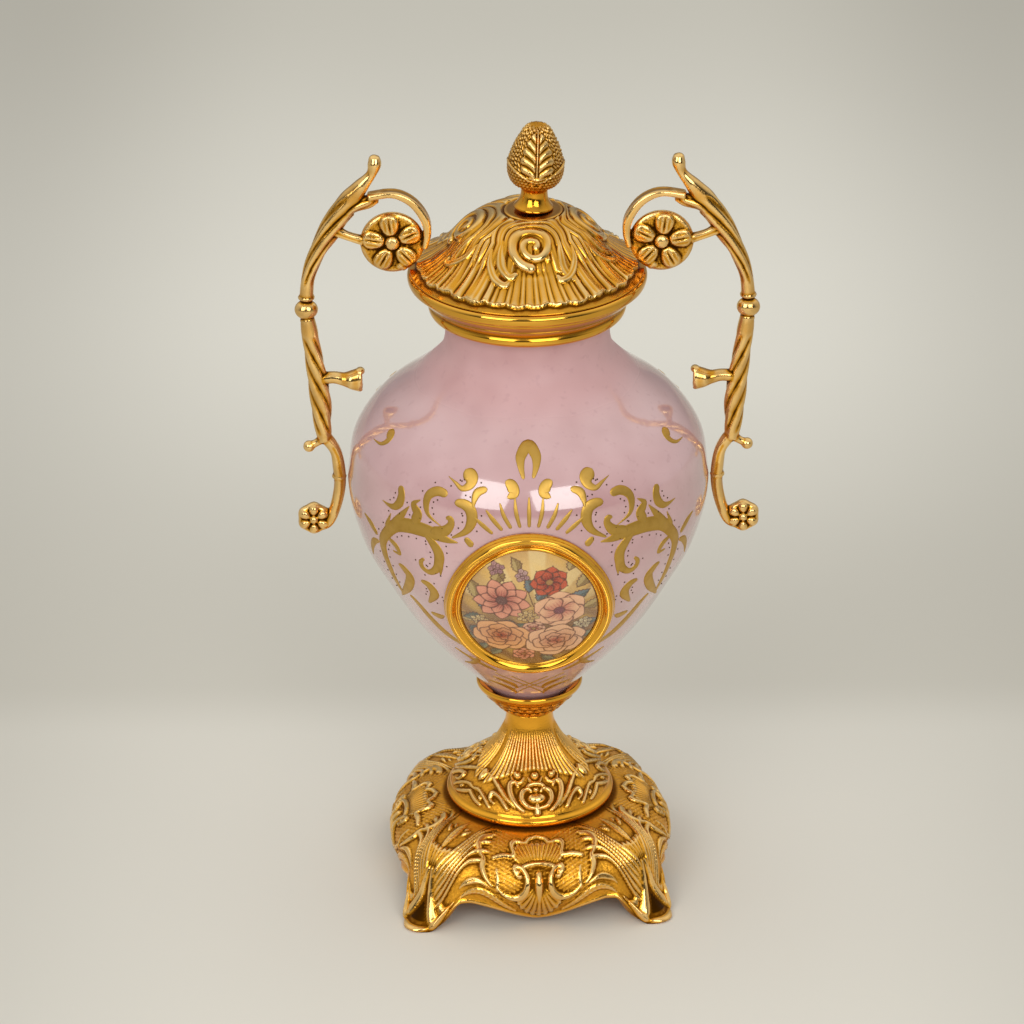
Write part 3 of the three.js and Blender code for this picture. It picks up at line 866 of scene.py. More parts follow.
@dataclass
class BaseCasting:
    """The square base on four scroll feet, hollow underneath.

    Attributes:
        turn: how far it stands turned, in degrees.
        side: outline down the middle of a side, from the flat top to the hanging shell.
        arch: outline down to the top of the arch beside the shell.
        corner: outline down a leg to the floor.
        arch_angle: from the middle of a side to the top of its arch, in degrees.
        toe_angle: from the middle of a side to where the arch turns down to a foot, in degrees.
        foot_angle: from the middle of a side to the edge of a foot, in degrees.
    """

    turn: float = 3.4
    side: Points = ((42, 45), (50, 44), (58, 41.5), (66, 36.5), (72.2, 30), (73.6, 23), (72.0, 15),
        (68.4, 8.5), (66, 4))
    arch: Points = ((42, 45), (50, 44.3), (58, 42.3), (66, 38), (72, 33), (75.5, 28), (76.5, 23),
        (76.3, 18.5), (76, 15))
    corner: Points = ((42, 45), (51, 44.6), (61, 43), (71, 39), (78, 32), (81, 23.5), (84, 14.5), (90, 6),
        (96.5, 0))
    arch_angle: float = 27.0
    toe_angle: float = 31.0
    foot_angle: float = 39.6
    wall: float = 3.4
    foot_wall: float = 9.0
    columns: int = 784
    rows: int = 104

    def outside(self, off: Array, place: Array) -> tuple[Array, Array]:
        """Blends the three outlines round a quarter of the base.

        Args:
            off: degrees from the middle of the nearest side.
            place: point number down the outlines, from 0 at the top to 8 at the lower edge.

        Returns:
            Radius and height.
        """
        steps = np.linspace(0.0, len(self.side) - 1.0, 400)
        lines = [flowing(line, 400) for line in (self.side, self.arch, self.corner)]
        side, arch, corner = [[np.interp(place, steps, line[:, k]) for k in (0, 1)] for line in lines]
        to_arch = smooth(off / self.arch_angle)
        to_foot = smooth((off - self.toe_angle) / (self.foot_angle - self.toe_angle))
        to_corner = smooth((off - self.arch_angle) / (45.0 - self.arch_angle))
        radius = mix(mix(side[0], arch[0], to_arch), corner[0], to_corner)
        height = mix(mix(side[1], arch[1], to_arch), corner[1], to_foot)
        return radius, np.maximum(height, 0.0)

    def inside(self, off: Array, place: Array) -> tuple[Array, Array]:
        """Returns the inner surface: the outer one drawn in by the wall, thicker at the feet.

        Args:
            off: degrees from a side's middle.
            place: place down the side.

        Returns:
            Radius and height.
        """
        radius, height = self.outside(off, place)
        share = place / (len(self.side) - 1.0)
        foot = smooth((off - self.arch_angle) / (self.foot_angle - self.arch_angle))
        wall = mix(self.wall, self.foot_wall, foot * smooth(share * 2.0 - 1.0))
        return radius - wall, height - self.wall * (1.0 - smooth(share * 1.4 - 0.4))

    def side_relief(self, canvas: Canvas) -> None:
        """Lays the side panel: trellis ground, shell, paired scrolls, hanging fan and cartouche.

        Args:
            canvas: relief in mm from a side's middle.
        """
        x, y = np.abs(canvas.across), canvas.along
        course_height, brick_length, hatch_pitch = 2.3, 5.2, 2.2
        panel = smooth((30.0 - x) / 1.5) * smooth((y - 7.0) / 2.0) * smooth((52.0 - y) / 2.0)
        course = np.floor(y / course_height)
        brick = np.abs((canvas.across / brick_length + 0.5 * (course % 2)) % 1.0 - 0.5)
        joints = np.maximum(hump(y / course_height % 1.0 - 0.5, 0.2), hump(brick - 0.5, 0.08))
        canvas.height += panel * 0.72 * (joints - 0.5)
        canvas.height += 0.14 * smooth((y - 53.0) / 1.0) * np.cos(TURN * canvas.across / hatch_pitch)
        canvas.fan((0, 28.5), 0, 64, 7.0, 21.0, 14.5, 15, 1.05, 0.07, 0.75)
        canvas.strand([(0, 54.6, 1.1), (-4.2, 51.6, 1.0), (-6.4, 47.6, 1.0), (-11, 45.6, 1.1),
            (-13.6, 41.5, 1.1), (-12.8, 36.5, 1.0), (-17.5, 33.4, 1.1), (-24, 28.6, 0.8)], 1.5, polish=1.0)
        for rib in (
                ((-18.5, 47, 0.7), (-23.5, 47.6, 0.7)),
                ((-21, 51.5, 0.6), (-17, 54, 0.6)),
                ((-22.5, 13.5, 0.8), (-22, 19, 0.9), (-22.3, 24, 0.7))):
            canvas.strand(rib, 0.7)
        canvas.strand([(-24.5, 41, 1.2), (-28.6, 39.6, 2.2), (-32.2, 35, 2.5), (-31.4, 29.6, 1.6),
            (-29.4, 26.4, 1.2), (-30.4, 21.5, 1.7), (-28.4, 16.8, 1.2), (-25.6, 14.4, 0.6)], 1.7,
            polish=1.0)
        canvas.strand([(-13, 3.6, 1.0), (-19, 5.6, 1.8), (-26, 8.4, 2.2), (-33, 8.8, 1.9),
            (-39.5, 6.2, 1.2), (-44, 3.2, 0.4)], 1.1, groove=0.35, veins=0.3)
        canvas.strand([(-27, 13.2, 0.5), (-33, 14.2, 1.5), (-38.5, 12.6, 1.6), (-44, 9.4, 0.5)], 1.0,
            groove=0.35)
        canvas.fan((0, 27.5), 180, 40, 3.0, 24.5, 19.0, 9, 1.5, 0.1, 0.85)
        canvas.strand([(0, 31, 1.6), (0, 25, 2.1), (0, 19, 1.6), (0, 13, 0.6)], 2.0, polish=1.0,
            mirrored=False)
        canvas.strand([(-9.4, 27.3, 0.8), (-11.2, 26.7, 1.0), (-12.8, 28.7, 1.1), (-11.4, 31.6, 1.2),
            (-8.3, 31.4, 1.3), (-6.2, 28, 1.4), (-6.6, 22, 1.5), (-9.6, 16.6, 1.6), (-14.4, 13.2, 1.4),
            (-19.4, 13.2, 1.0), (-22.4, 15, 0.6)], 2.1, groove=0.25, polish=1.0)
        canvas.strand([(-8.6, 32.4, 1.0), (-4.5, 35.6, 1.2), (0, 36.8, 1.2), (4.5, 35.6, 1.2),
            (8.6, 32.4, 1.0)], 1.7, polish=1.0, mirrored=False)
        canvas.bead(-10.9, 28.9, 1.2, 1.9)

    def facet(self, canvas: Canvas) -> Array:
        """Returns where the plain wedge between a foot's two ridges lies, from 0 to 1."""
        edge = 8.6 - 0.42 * canvas.along - np.abs(canvas.across)
        return smooth(edge / 1.0) * smooth((canvas.along - 4.6) / 1.4) * smooth((20.0 - canvas.along) / 2.0)

    def leg_relief(self, canvas: Canvas) -> None:
        """Lays a leg: two ridges that end in curled toes, acanthus sprays and a shoulder shell.

        Args:
            canvas: relief in mm from a leg's middle.
        """
        facet = self.facet(canvas)
        canvas.height -= 1.4 * facet
        canvas.polish = np.maximum(canvas.polish, facet)
        canvas.fan((0, 31), 0, 50, 4.0, 18.0, 15.0, 11, 1.2, 0.14, 0.7)
        sprays = (
            ((-2.4, 29, 0.8), (-3.6, 37, 1.5), (-7.5, 45, 1.7), (-13, 52, 1.2), (-19, 56, 0.3)),
            ((-3.6, 24, 1.0), (-5.6, 31, 1.7), (-10.5, 39, 1.9), (-17.5, 44.5, 1.4), (-25, 46.5, 0.4)),
            ((-4.6, 19, 1.0), (-7.6, 26, 1.8), (-13.5, 32, 2.0), (-21, 35, 1.5), (-29, 34.5, 0.4)),
            ((-6.4, 13.5, 1.0), (-10.4, 19, 1.8), (-17, 23.5, 2.0), (-25, 25, 1.4), (-32, 22.5, 0.4)))
        sprays = np.array(sprays) * [1.0, 1.0, 0.8]
        for place in np.linspace(0.0, 3.0, 6):
            low = int(min(place, 2.0))
            canvas.strand(mix(sprays[low], sprays[low + 1], place - low), 1.6, polish=0.85)
        canvas.strand([(0, 50, 1.2), (0, 57, 2.2), (0, 64, 1.7), (0, 71, 0.4)], 1.2, groove=0.4, veins=0.35,
            mirrored=False)
        for bead in ((-5.5, 58.5, 1.5), (-9, 61.5, 1.1), (-4, 63, 1.1)):
            canvas.bead(*bead)
        canvas.strand([(-1.0, 36, 0.9), (-2.0, 29, 1.6), (-3.0, 21, 1.9), (-5.4, 13, 2.0), (-8.4, 6.5, 2.3),
            (-10.6, 3.0, 2.2)], 2.0, groove=0.12, polish=1.0)
        canvas.strand([(-8.0, 18, 0.6), (-9.6, 12, 1.1), (-12.0, 7.4, 1.2), (-15.0, 4.6, 0.9)], 1.1,
            polish=0.9)
        canvas.strand([(-7.5, 2.0, 1.2), (0, 1.0, 2.4), (7.5, 2.0, 1.2)], 1.6, mirrored=False, polish=1.0)
        canvas.bead(-10.9, 4.0, 3.5, 2.9)

    def relief(self, plain: Array, radius: Array, azimuth: Array) -> tuple[Canvas, Array]:
        """Joins the relief of the sides and of the legs, measured in mm along the plain surface.

        A leg's relief shows where it is the higher from 22 degrees off a side's middle, and alone
        from 33 degrees. A raised edge follows the arches.

        Args:
            plain: rows of points of the surface before relief, from the lower edge up.
            radius: radius of those points.
            azimuth: azimuth of the columns, in radians.

        Returns:
            The canvas, and where the plain wedges of the feet lie.
        """
        step = np.linalg.norm(np.diff(plain, axis=0), axis=-1)
        along = np.concatenate([np.zeros((1, self.columns)), np.cumsum(step, axis=0)])
        from_side = folded(azimuth, 0.0, 4)
        off = np.abs(from_side / DEGREE)[None, :]
        side = Canvas(from_side * radius, along)
        self.side_relief(side)
        leg = Canvas(folded(azimuth, 45.0, 4) * radius, along)
        self.leg_relief(leg)
        higher = np.maximum(leg.height, side.height)
        side.height = mix(side.height, higher, smooth((off - 22.0) / 5.0))
        side.height = mix(side.height, leg.height, smooth((off - 33.0) / 3.0))
        side.polish = np.where((leg.height >= side.height - 0.02) & (off > 24.0), leg.polish, side.polish)
        edge = hump(along - 1.2, 1.3) * (1.0 - smooth((off - 33.0) / 4.0))
        side.height = np.maximum(side.height, 0.9 * edge) * smooth((radius - 42.4) / 3.0)
        side.polish = np.maximum(side.polish, edge)
        side.stipple(0.07, 11)
        return side, self.facet(leg)

    def build(self, material: Material) -> Object:
        """Builds the base.

        The grid runs down inside, round the lower edge and up outside. Relief is pushed out along
        the normals of the plain surface, and the whole is turned about the axis.

        Args:
            material: its finish.

        Returns:
            The piece.
        """
        azimuth, turn, last = azimuths(self.columns), self.turn * DEGREE, len(self.side) - 1.0
        off = np.abs(folded(azimuth, 0.0, 4) / DEGREE)[None, :]
        places = last * (np.linspace(last, 0.0, self.rows)[:, None] / last + 0.0 * off) ** 1.12
        radius, height = self.outside(off, places)
        plain = around(radius, azimuth, height)
        canvas, facet = self.relief(plain, radius, azimuth)
        points = plain + grid_normals(plain) * canvas.height[..., None]
        points[..., 2] = np.clip(points[..., 2], 0.0, self.side[0][1])
        inner = []
        for place in (0.7, 2.0, 4.0, 6.0, 7.2, 7.9):
            r, z = self.inside(off[0], np.full(self.columns, place))
            inner.append(around(r, azimuth, np.maximum(z, 0.0)))
        points = np.concatenate([np.stack(inner), points])
        # Painted shade: a painted shadow under the pedestal's ring, dark sunk wedges on the feet, the
        # relief's hollows, and a little darker on the inside.
        pedestal_shadow = 0.95 * (1.0 - smooth((radius - 45.0) / 6.5))
        shade = np.maximum(np.maximum(hollows(canvas.height, 0.6), facet), pedestal_shadow)
        hollow = np.concatenate([np.full((len(inner), self.columns), 0.6), shade])
        polish = np.concatenate([np.zeros((len(inner), self.columns)), canvas.polish])
        x, y = points[..., 0].copy(), points[..., 1].copy()
        points[..., 0] = x * math.cos(turn) - y * math.sin(turn)
        points[..., 1] = x * math.sin(turn) + y * math.cos(turn)
        skin = wrapped(points, {"hollow": hollow, "polish": polish})
        return skin.build("BaseCasting", material, Slot.CAST.value, ["base"])


# ---- pedestal and cup ----------------------------------------------------------------------


@dataclass
class PedestalCasting:
    """The domed pedestal: a polished ring, a band of relief, a burst of flutes and a plain stem."""

    outline: Points = ((0, 45.3), (43, 45.3, 0.5), (44.6, 46.4, 1.2), (44.6, 49.2, 1.2), (42.9, 50.3, 0.7),
        (42.3, 51.2, 0.5), (41.3, 53.8), (38.2, 57.4), (34, 60.6), (28, 65), (22, 70), (16.4, 77),
        (13.4, 85), (12.5, 91), (12.6, 95.3, 0.4), (0, 95.3))
    turn: float = 5.5
    repeats: int = 3
    columns: int = 440
    rows: int = 130
    flutes: int = 22

    def relief(self, canvas: Canvas) -> None:
        """Lays a third of the band: cabochon between scrolls, three beads, and a lily each side.

        Args:
            canvas: relief in mm from a cabochon's axis.
        """
        canvas.strand([(0, 1.5, 1.6), (0, 4.6, 1.3), (0, 7.0, 0.6)], 1.5, mirrored=False, polish=1.0)
        canvas.bead(0, 9.6, 4.7, 2.0, squeeze=0.6)
        canvas.strand([(-1.2, 4.2, 0.8), (-5.4, 5.4, 1.2), (-8.0, 9.0, 1.4), (-7.2, 13.2, 1.3),
            (-4.2, 15.2, 1.0), (-2.6, 13.6, 0.7)], 1.8, polish=1.0)
        canvas.strand([(-5.6, 14.5, 0.7), (-3.2, 17.4, 1.1), (0, 18.2, 1.2), (3.2, 17.4, 1.1),
            (5.6, 14.5, 0.7)], 1.3, mirrored=False, polish=0.9)
        canvas.bead(0, 14.6, 1.3, 1.3)
        canvas.strand([(-7.6, 2.6, 0.8), (-11.6, 6.4, 1.3), (-14, 12, 1.5), (-13.6, 17, 1.3),
            (-10.8, 18.8, 1.0), (-9.6, 16.6, 0.8)], 1.6, groove=0.2, polish=0.95)
        canvas.strand([(-12.2, 4.4, 0.6), (-17, 9.4, 1.5), (-20.6, 14.6, 1.6), (-24.6, 18, 1.2),
            (-29, 19, 0.8)], 1.3, groove=0.3, veins=0.2)
        canvas.strand([(-16.5, 3.0, 0.9), (-20.2, 8.6, 1.3), (-24.4, 9.8, 1.2), (-26.4, 6.4, 0.9),
            (-24, 4.6, 0.6)], 1.5, polish=0.95)
        canvas.strand([(-27, 2.0, 0.9), (-30, 6.0, 1.2), (-34, 8.6, 0.9), (-39, 8.0, 0.4)], 1.1, groove=0.3)
        canvas.strand([(-33, 1.6, 0.8), (-37, 3.4, 1.3), (-41.6, 7.0, 1.2), (-43, 12.0, 0.6)], 1.3,
            groove=0.3, polish=0.9)
        canvas.strand([(-36, 20.5, 0.6), (-39, 24, 1.2), (-38, 29, 1.3), (-34.4, 31, 0.8)], 1.3, groove=0.2,
            polish=0.9)
        for petal in (
                ((-29, 19, 1.0), (-32.6, 16.4, 1.8), (-37, 13.2, 1.1), (-40, 11.2, 0.2)),
                ((-29, 19.4, 1.0), (-34, 19.2, 1.7), (-39, 18, 1.0), (-42, 16.4, 0.2)),
                ((-28.6, 20, 1.0), (-31.4, 23.4, 1.5), (-34.4, 25.4, 0.9), (-37, 26.2, 0.2))):
            canvas.strand(petal, 1.7, groove=0.3, polish=0.95)
        for bead in ((-26.2, 28.6, 1.7), (-22.4, 31, 1.4), (-24, 34.6, 1.3), (-20.6, 36, 1.1),
                (-22.4, 39, 1.0), (-33, 5.0, 1.2)):
            canvas.bead(*bead)
        for spot in (-9.4, 0.0, 9.4):
            canvas.bead(spot, 22.8, 2.1, 2.2, mirrored=False)
            sling = ((-3.4, 21.6, 0.5), (-2.2, 19.2, 0.8), (0, 18.4, 0.9), (2.2, 19.2, 0.8),
                (3.4, 21.6, 0.5))
            canvas.strand([(spot + x, y, half) for x, y, half in sling], 0.9, mirrored=False)

    def flute(self, canvas: Canvas, local: Array) -> None:
        """Lays the flutes and burnishes the plain parts.

        Flutes are sine ridges round the dome, from above the beads to the foot of the stem, where
        they fade out. They leave a gap at the berries.

        Args:
            canvas: the pedestal's relief.
            local: angle from the nearest motif's axis, in radians, in one row.
        """
        along = canvas.along
        ridge = ridged(local / TURN * self.repeats * self.flutes + 0.5, 0.8)
        arch = 25.0 - 0.0045 * (local / DEGREE) ** 2
        berries = smooth((7.0 - np.abs(np.abs(local) / DEGREE - 60.0)) / 2.0)
        window = smooth((along - arch) / 2.0) * smooth((50.0 - along) / 13.0) * (1.0 - berries)
        fluted = window * (0.1 + 1.1 * ridge)
        burnished = np.maximum(canvas.polish, 0.55 * window)
        canvas.polish = np.where(fluted > canvas.height, burnished, canvas.polish)
        on_dome = smooth(along / 0.6)
        canvas.height = np.maximum(canvas.height, fluted) * on_dome
        plain = np.maximum(1.0 - on_dome, 0.75 * smooth((along - 36.0) / 10.0))
        canvas.polish = np.maximum(canvas.polish, plain)

    def build(self, material: Material) -> Object:
        """Turns the outline and lays the relief on the dome.

        Args:
            material: its finish.

        Returns:
            The piece.
        """
        line = Outline(softened(self.outline))
        azimuth = azimuths(self.columns, self.turn)
        middle = np.linspace(line.height_reach(46.0), line.height_reach(95.0), self.rows - 6)
        reach = np.concatenate([[20.0, 42.0, 43.0], middle, line.length - np.array([12.2, 11.5, 5.0])])
        local = folded(azimuth, self.turn, self.repeats)[None, :]
        along = reach - line.height_reach(51.6)
        canvas = Canvas(local * line.at(reach)[0][:, None], along[:, None])
        self.relief(canvas)
        self.flute(canvas, local)
        canvas.stipple(0.07, 23)
        points = line.turned(reach, azimuth, canvas.height)
        skin = wrapped(points, {"hollow": hollows(canvas.height, 0.5), "polish": canvas.polish})
        return skin.build("PedestalCasting", material, Slot.CAST.value, ["pedestal"])


@dataclass
class Cup:
    """The cup that holds the vessel: a plain lip over a band of small leaves."""

    outline: Points = ((0, 95.6), (13.4, 95.6, 0.4), (15.6, 97.6, 1.2), (20, 102.6), (24.4, 107.4, 1.5),
        (25.6, 108.2, 0.4), (25.8, 109.2, 0.5), (27.6, 110.4, 0.8), (28.2, 111.8, 0.8), (28.1, 113.2, 0.5),
        (27.3, 113.9, 0.4), (26.6, 113.2, 0.4), (19.6, 105.6), (18.6, 104.7, 0.4), (0, 104.7))
    leaves: int = 26
    columns: int = 260
    rows: int = 64

    def build(self, material: Material) -> Object:
        """Turns the outline, with a band of overlapping leaf tips below the lip.

        A leaf is a ridge in azimuth whose edge rises and falls with the same ridge.

        Args:
            material: its finish.

        Returns:
            The piece.
        """
        line = Outline(softened(self.outline))
        low, high, top = [line.height_reach(height) for height in (97.0, 107.6, 113.0)]
        lip = np.linspace(high + 0.5, top + 2.6, 24)
        inside = line.length - np.array([19.6, 18.6, 17.6, 8.0])
        band = np.linspace(low, high, self.rows - 32)
        reach = np.concatenate([[6.0, 12.9, 13.5], band, lip, [top + 7.0], inside])
        azimuth = azimuths(self.columns)
        share = (reach[:, None] - low) / (high - low)
        relief = np.zeros((len(reach), self.columns))
        for row, shift in ((0.25, 0.0), (0.62, 0.5), (0.95, 0.0)):
            ridge = ridged(azimuth[None, :] / TURN * self.leaves + shift, 0.8)
            tip = row + 0.1 * ridge
            leaf = smooth((tip - share) / 0.06) * smooth((share - row + 0.36) / 0.3)
            relief = np.maximum(relief, 0.75 * leaf * (0.3 + 0.7 * ridge))
        relief *= smooth(share / 0.1) * smooth((1.02 - share) / 0.05)
        polish = np.where((share > 0.0) & (share < 1.03), 0.45 + 0.4 * smooth(relief), 1.0)
        points = line.turned(reach, azimuth, relief)
        skin = wrapped(points, {"hollow": hollows(relief, 0.35), "polish": polish})
        return skin.build("CupRing", material, Slot.POLISHED.value, ["cup"])


# ---- vessel --------------------------------------------------------------------------------


@dataclass
class Vessel:
    """The hollow pear-shaped vessel, and the curve that its ornaments lie on."""

    profile: Points = ((19.9, 108), (32.2, 122), (48.5, 140), (63.5, 160), (75.5, 180), (86.2, 200),
        (92.4, 220), (93.9, 232), (93.35, 240), (90.2, 258), (78.2, 275), (58.7, 290), (46, 303),
        (42.6, 312), (42.6, 320), (43.6, 330))
    foot: float = 105.0
    top: float = 344.0
    wall: float = 4.2
    columns: int = 200
    rows: int = 120
    inner_rows: int = 30

    def __post_init__(self) -> None:
        """Measures the outer curve."""
        self.curve = Outline(flowing(self.profile, 3000))

    def build(self, material: Material) -> Object:
        """Turns the outer curve, the lip and the inner curve, which is one wall inside.

        Args:
            material: its finish.

        Returns:
            The piece.
        """
        radius, height = self.curve.at(np.linspace(0.0, self.curve.length, self.rows))
        inner = np.linspace(self.curve.length, 8.0, self.inner_rows)
        r_in, z_in = self.curve.at(inner)
        out, up = self.curve.normal(inner)
        neck, bore, bevel = self.profile[-1][0], self.profile[-1][0] - self.wall, 0.5
        lip = [(neck, 340.0), (neck, self.top - bevel), (neck - bevel, self.top), (bore + bevel, self.top),
            (bore, self.top - bevel), (bore, 340.0)]
        underside = [(9.0, self.foot), (17.4, self.foot), (18.2, self.foot + 0.6)]
        outer_line = np.column_stack([radius, height])
        inner_line = np.column_stack([r_in - out * self.wall, z_in - up * self.wall])
        floor = [(14.0, self.foot + self.wall + 2.0), (6.0, self.foot + self.wall + 0.4)]
        line = np.concatenate([underside, outer_line, lip, inner_line, floor])
        points = around(line[:, :1], azimuths(self.columns), line[:, 1:])
        return wrapped(points).build("Vessel", material, Slot.GLAZE.value, ["body"])


@dataclass
class Gilding:
    """Raised gilt scrollwork round the medallion, in two mirrored halves, and again at the back.

    Attributes:
        scrolls: strokes of the left half; rows of degrees from the axis, mm up the vessel's curve
            and half width in mm.
        middle: strokes over the axis, laid once.
        back: strokes of the palmette behind; all but the first are mirrored.
        dotted: numbers of the scrolls that dots follow.
        lift: height of a stroke's edge over the glaze; each next stroke lies a layer higher.
        crown: how much higher its middle is.
        breadth: what its half widths are multiplied by.
        dot: half width of a dot.
    """

    vessel: Vessel
    scrolls: Sequence[Points] = (
        ((-64.5, 193.5, 2.0), (-61.8, 192, 2.1), (-61.6, 188.5, 1.4), (-64.2, 185.3, 0.7),
            (-69.5, 184.5, 0.1)),
        ((-46, 172.2, 1.5), (-44.8, 168.3, 1.8), (-45.2, 163.7, 2.0), (-47.4, 160.1, 1.4),
            (-50.2, 159.4, 0.8), (-53.5, 160.2, 0.1)),
        ((-22.5, 151, 0.2), (-26.4, 151.5, 1.4), (-30.8, 153, 2.5), (-36, 153.5, 2.9), (-41, 153, 3.0),
            (-46.2, 150.3, 2.8), (-50.2, 144.4, 2.5), (-53.9, 136.3, 2.3), (-54.8, 127.7, 2.1),
            (-54.5, 120, 1.9), (-54.5, 110, 1.6), (-55, 99, 0.8)),
        ((-39, 155.2, 2.2), (-37.5, 160.8, 2.2), (-38.7, 163.7, 1.8), (-39.3, 166, 1.1), (-36.8, 169, 0.2)),
        ((-47.5, 149.6, 2.3), (-44.4, 156.3, 1.6), (-41, 163.7, 0.2)),
        ((-50.6, 146.4, 1.6), (-49.6, 152, 0.8), (-48.9, 155.7, 0.1)),
        ((-27.3, 175, 1.5), (-31, 175.8, 1.9), (-33.9, 172.8, 1.8), (-34.5, 167.5, 1.4),
            (-33.2, 162.2, 0.8), (-28.5, 158, 0.1)),
        ((-24.4, 172, 1.3), (-21.4, 172, 2.0), (-19, 169.8, 2.3), (-18.2, 164.4, 2.2), (-20, 158, 1.4),
            (-24.7, 153, 0.4)),
        ((-32.2, 153.8, 2.2), (-27.5, 155.7, 2.2), (-25.2, 160, 1.5), (-25.5, 163, 1.3), (-27, 163, 0.7)),
        ((-34.3, 151.5, 0.8), (-31.3, 147.5, 1.9), (-29.3, 141.4, 2.3), (-30.6, 133, 1.8),
            (-33.8, 128.5, 1.3), (-36.4, 130, 1.2), (-36.8, 133.7, 1.0), (-35.2, 136.8, 0.6)),
        ((-29.2, 139, 1.8), (-29.3, 133.7, 1.1), (-29.8, 128.5, 0.2)),
        ((-50, 140.5, 0.8), (-47, 138, 1.4), (-46, 133.7, 0.9), (-49, 133.7, 0.3)),
        ((-47.8, 126, 0.9), (-45.4, 123.5, 1.9), (-44, 118.3, 2.3), (-48.5, 108, 1.9), (-57.6, 95.7, 0.5)),
        ((-38.8, 120, 0.9), (-35.7, 118.3, 2.0), (-34.6, 112.3, 2.1), (-39.3, 102.8, 0.5)),
        ((-41.5, 93, 1.0), (-38, 92, 1.8), (-34.8, 94, 0.4)),
        ((-49.4, 102, 0.9), (-47.5, 97.5, 1.6), (-44.5, 86.8, 2.0), (-39.4, 76, 2.0), (-32.5, 69, 1.2)),
        ((-20.3, 154.3, 1.1), (-17.7, 150.3, 1.5)),
        ((-23, 189.5, 2.5), (-20.3, 186, 2.8), (-20.3, 182, 1.9), (-22.7, 179.7, 1.1), (-25.5, 182, 0.6),
            (-28.6, 184.5, 0.1)),
        ((-8, 186, 1.5), (-5.8, 183.7, 2.2), (-5.1, 179.7, 2.1), (-7.1, 177.3, 0.6)),
        ((-14, 181.2, 1.2), (-17, 179, 1.7), (-17.9, 175, 1.2), (-18, 170.6, 0.3)),
        ((-17.5, 166, 0.4), (-14.4, 162, 0.9), (-11.4, 158.2, 0.6)),
        ((-13.8, 170.5, 0.3), (-11.4, 165.8, 0.9), (-8.4, 160.4, 0.7)),
        ((-9.4, 174.5, 0.3), (-8.0, 168.3, 0.8), (-5.6, 161.6, 0.7)),
        ((-4.6, 177.5, 0.3), (-4.1, 170, 0.8), (-2.8, 162.2, 0.6)),
        ((-66, 119, 0.2), (-63.5, 126, 1.2), (-60, 132, 1.5), (-56.5, 134.5, 0.7)),
        ((-64, 146, 0.2), (-60, 143, 1.5), (-56.5, 138.5, 1.2)),
        ((-40, 62, 0.3), (-33, 55, 1.2), (-26, 49, 1.3), (-20, 45, 0.5)),
        ((-27, 60, 0.3), (-29.5, 53.5, 1.3), (-35.5, 48, 1.0), (-42, 46, 0.2)),
        ((-26, 36, 0.2), (-19, 31.5, 1.5), (-13.5, 27.5, 1.4), (-10.5, 22, 0.4)),
        ((-34, 27, 0.2), (-24, 24.5, 1.4), (-17, 19.5, 1.4), (-14, 14.5, 0.4)),
        ((-12, 40, 0.25), (0, 30, 0.3), (14, 20.5, 0.25)),
        ((-22, 42, 0.25), (-9, 31.5, 0.3), (4, 22, 0.3), (16, 12.5, 0.2)))
    middle: Sequence[Points] = (
        ((-1.8, 187, 0.6), (-3, 194.6, 1.4), (-2.9, 200, 2.1), (-0.2, 206, 2.4), (2.6, 200.6, 2.1),
            (2.8, 194.6, 1.4), (1.5, 187.5, 0.6)),
        ((0, 178, 0.3), (0, 170, 0.8), (0, 162.4, 0.6)))
    back: Sequence[Points] = (
        ((0, 161, 0.3), (0, 150, 1.4), (0, 138, 2.2), (0, 128, 0.4)),
        ((-1, 150, 0.6), (-7, 154, 2.2), (-13, 151, 2.0), (-15, 146, 0.8)),
        ((-1, 142, 0.6), (-8, 143, 2.4), (-15, 138, 2.0), (-17, 131, 0.6)),
        ((-1, 134, 0.5), (-6, 131, 2.0), (-12, 124, 1.8), (-13, 117, 0.5)),
        ((0, 126, 0.5), (-3, 112, 1.2), (-9, 98, 1.4), (-17, 86, 1.2), (-25, 78, 0.3)))
    dotted: Sequence[int] = (1, 2, 6, 7, 9, 13, 17)
    lift: float = 0.1
    crown: float = 0.14
    breadth: float = 1.32
    layer: float = 0.004
    dot: float = 0.46
    dot_gap: float = 2.0
    dot_pitch: float = 6.2

    def ribbon(self, stroke: Points, axis: float, side: float, lift: float) -> Skin:
        """Lays one stroke: a low closed cushion along a flowing line.

        Across the stroke the height is a parabola, highest in the middle. The underside lies just
        below the glaze.

        Args:
            stroke: rows of degrees, mm and half width.
            axis: azimuth of the design's axis, in degrees.
            side: 1 for the half as written and -1 for its mirror image.
            lift: height of the stroke's edge over the glaze.

        Returns:
            The closed cushion.
        """
        path = flowing(stroke, 7 * len(stroke))
        angle, reach = path[:, 0] * side * DEGREE + axis * DEGREE, path[:, 1]
        radius = self.vessel.curve.at(reach)[0]
        step = np.hypot(np.diff(angle) * radius[1:], np.diff(reach))
        run = np.concatenate([[0.0], np.cumsum(step)])
        half = np.maximum(path[:, 2] * self.breadth, 0.08)
        for end in (run, run[-1] - run):
            half = half * np.sqrt(np.clip(1.0 - (1.0 - np.minimum(end / half, 1.0)) ** 2, 0.02, 1.0))
        tangent = unit(np.stack([np.gradient(angle) * radius, np.gradient(reach)], axis=-1))
        section = np.array([(-1, -0.15), (-1, 0), (-0.82, 0.6), (-0.45, 0.92), (0, 1), (0.45, 0.92),
            (0.82, 0.6), (1, 0), (1, -0.15), (0, -0.15)])
        offset = section[None, :, 0] * half[:, None]
        rise = np.where(section[:, 1] < 0, -0.12, lift + self.crown * section[:, 1])
        rise[[1, -3]] = lift * 0.4
        across = angle[:, None] + tangent[:, 1:] * offset / radius[:, None]
        points = self.vessel.curve.above(reach[:, None] - tangent[:, :1] * offset, across, rise)
        shade = np.broadcast_to(0.62 - 0.34 * np.clip(section[:, 1], 0, 1), offset.shape)
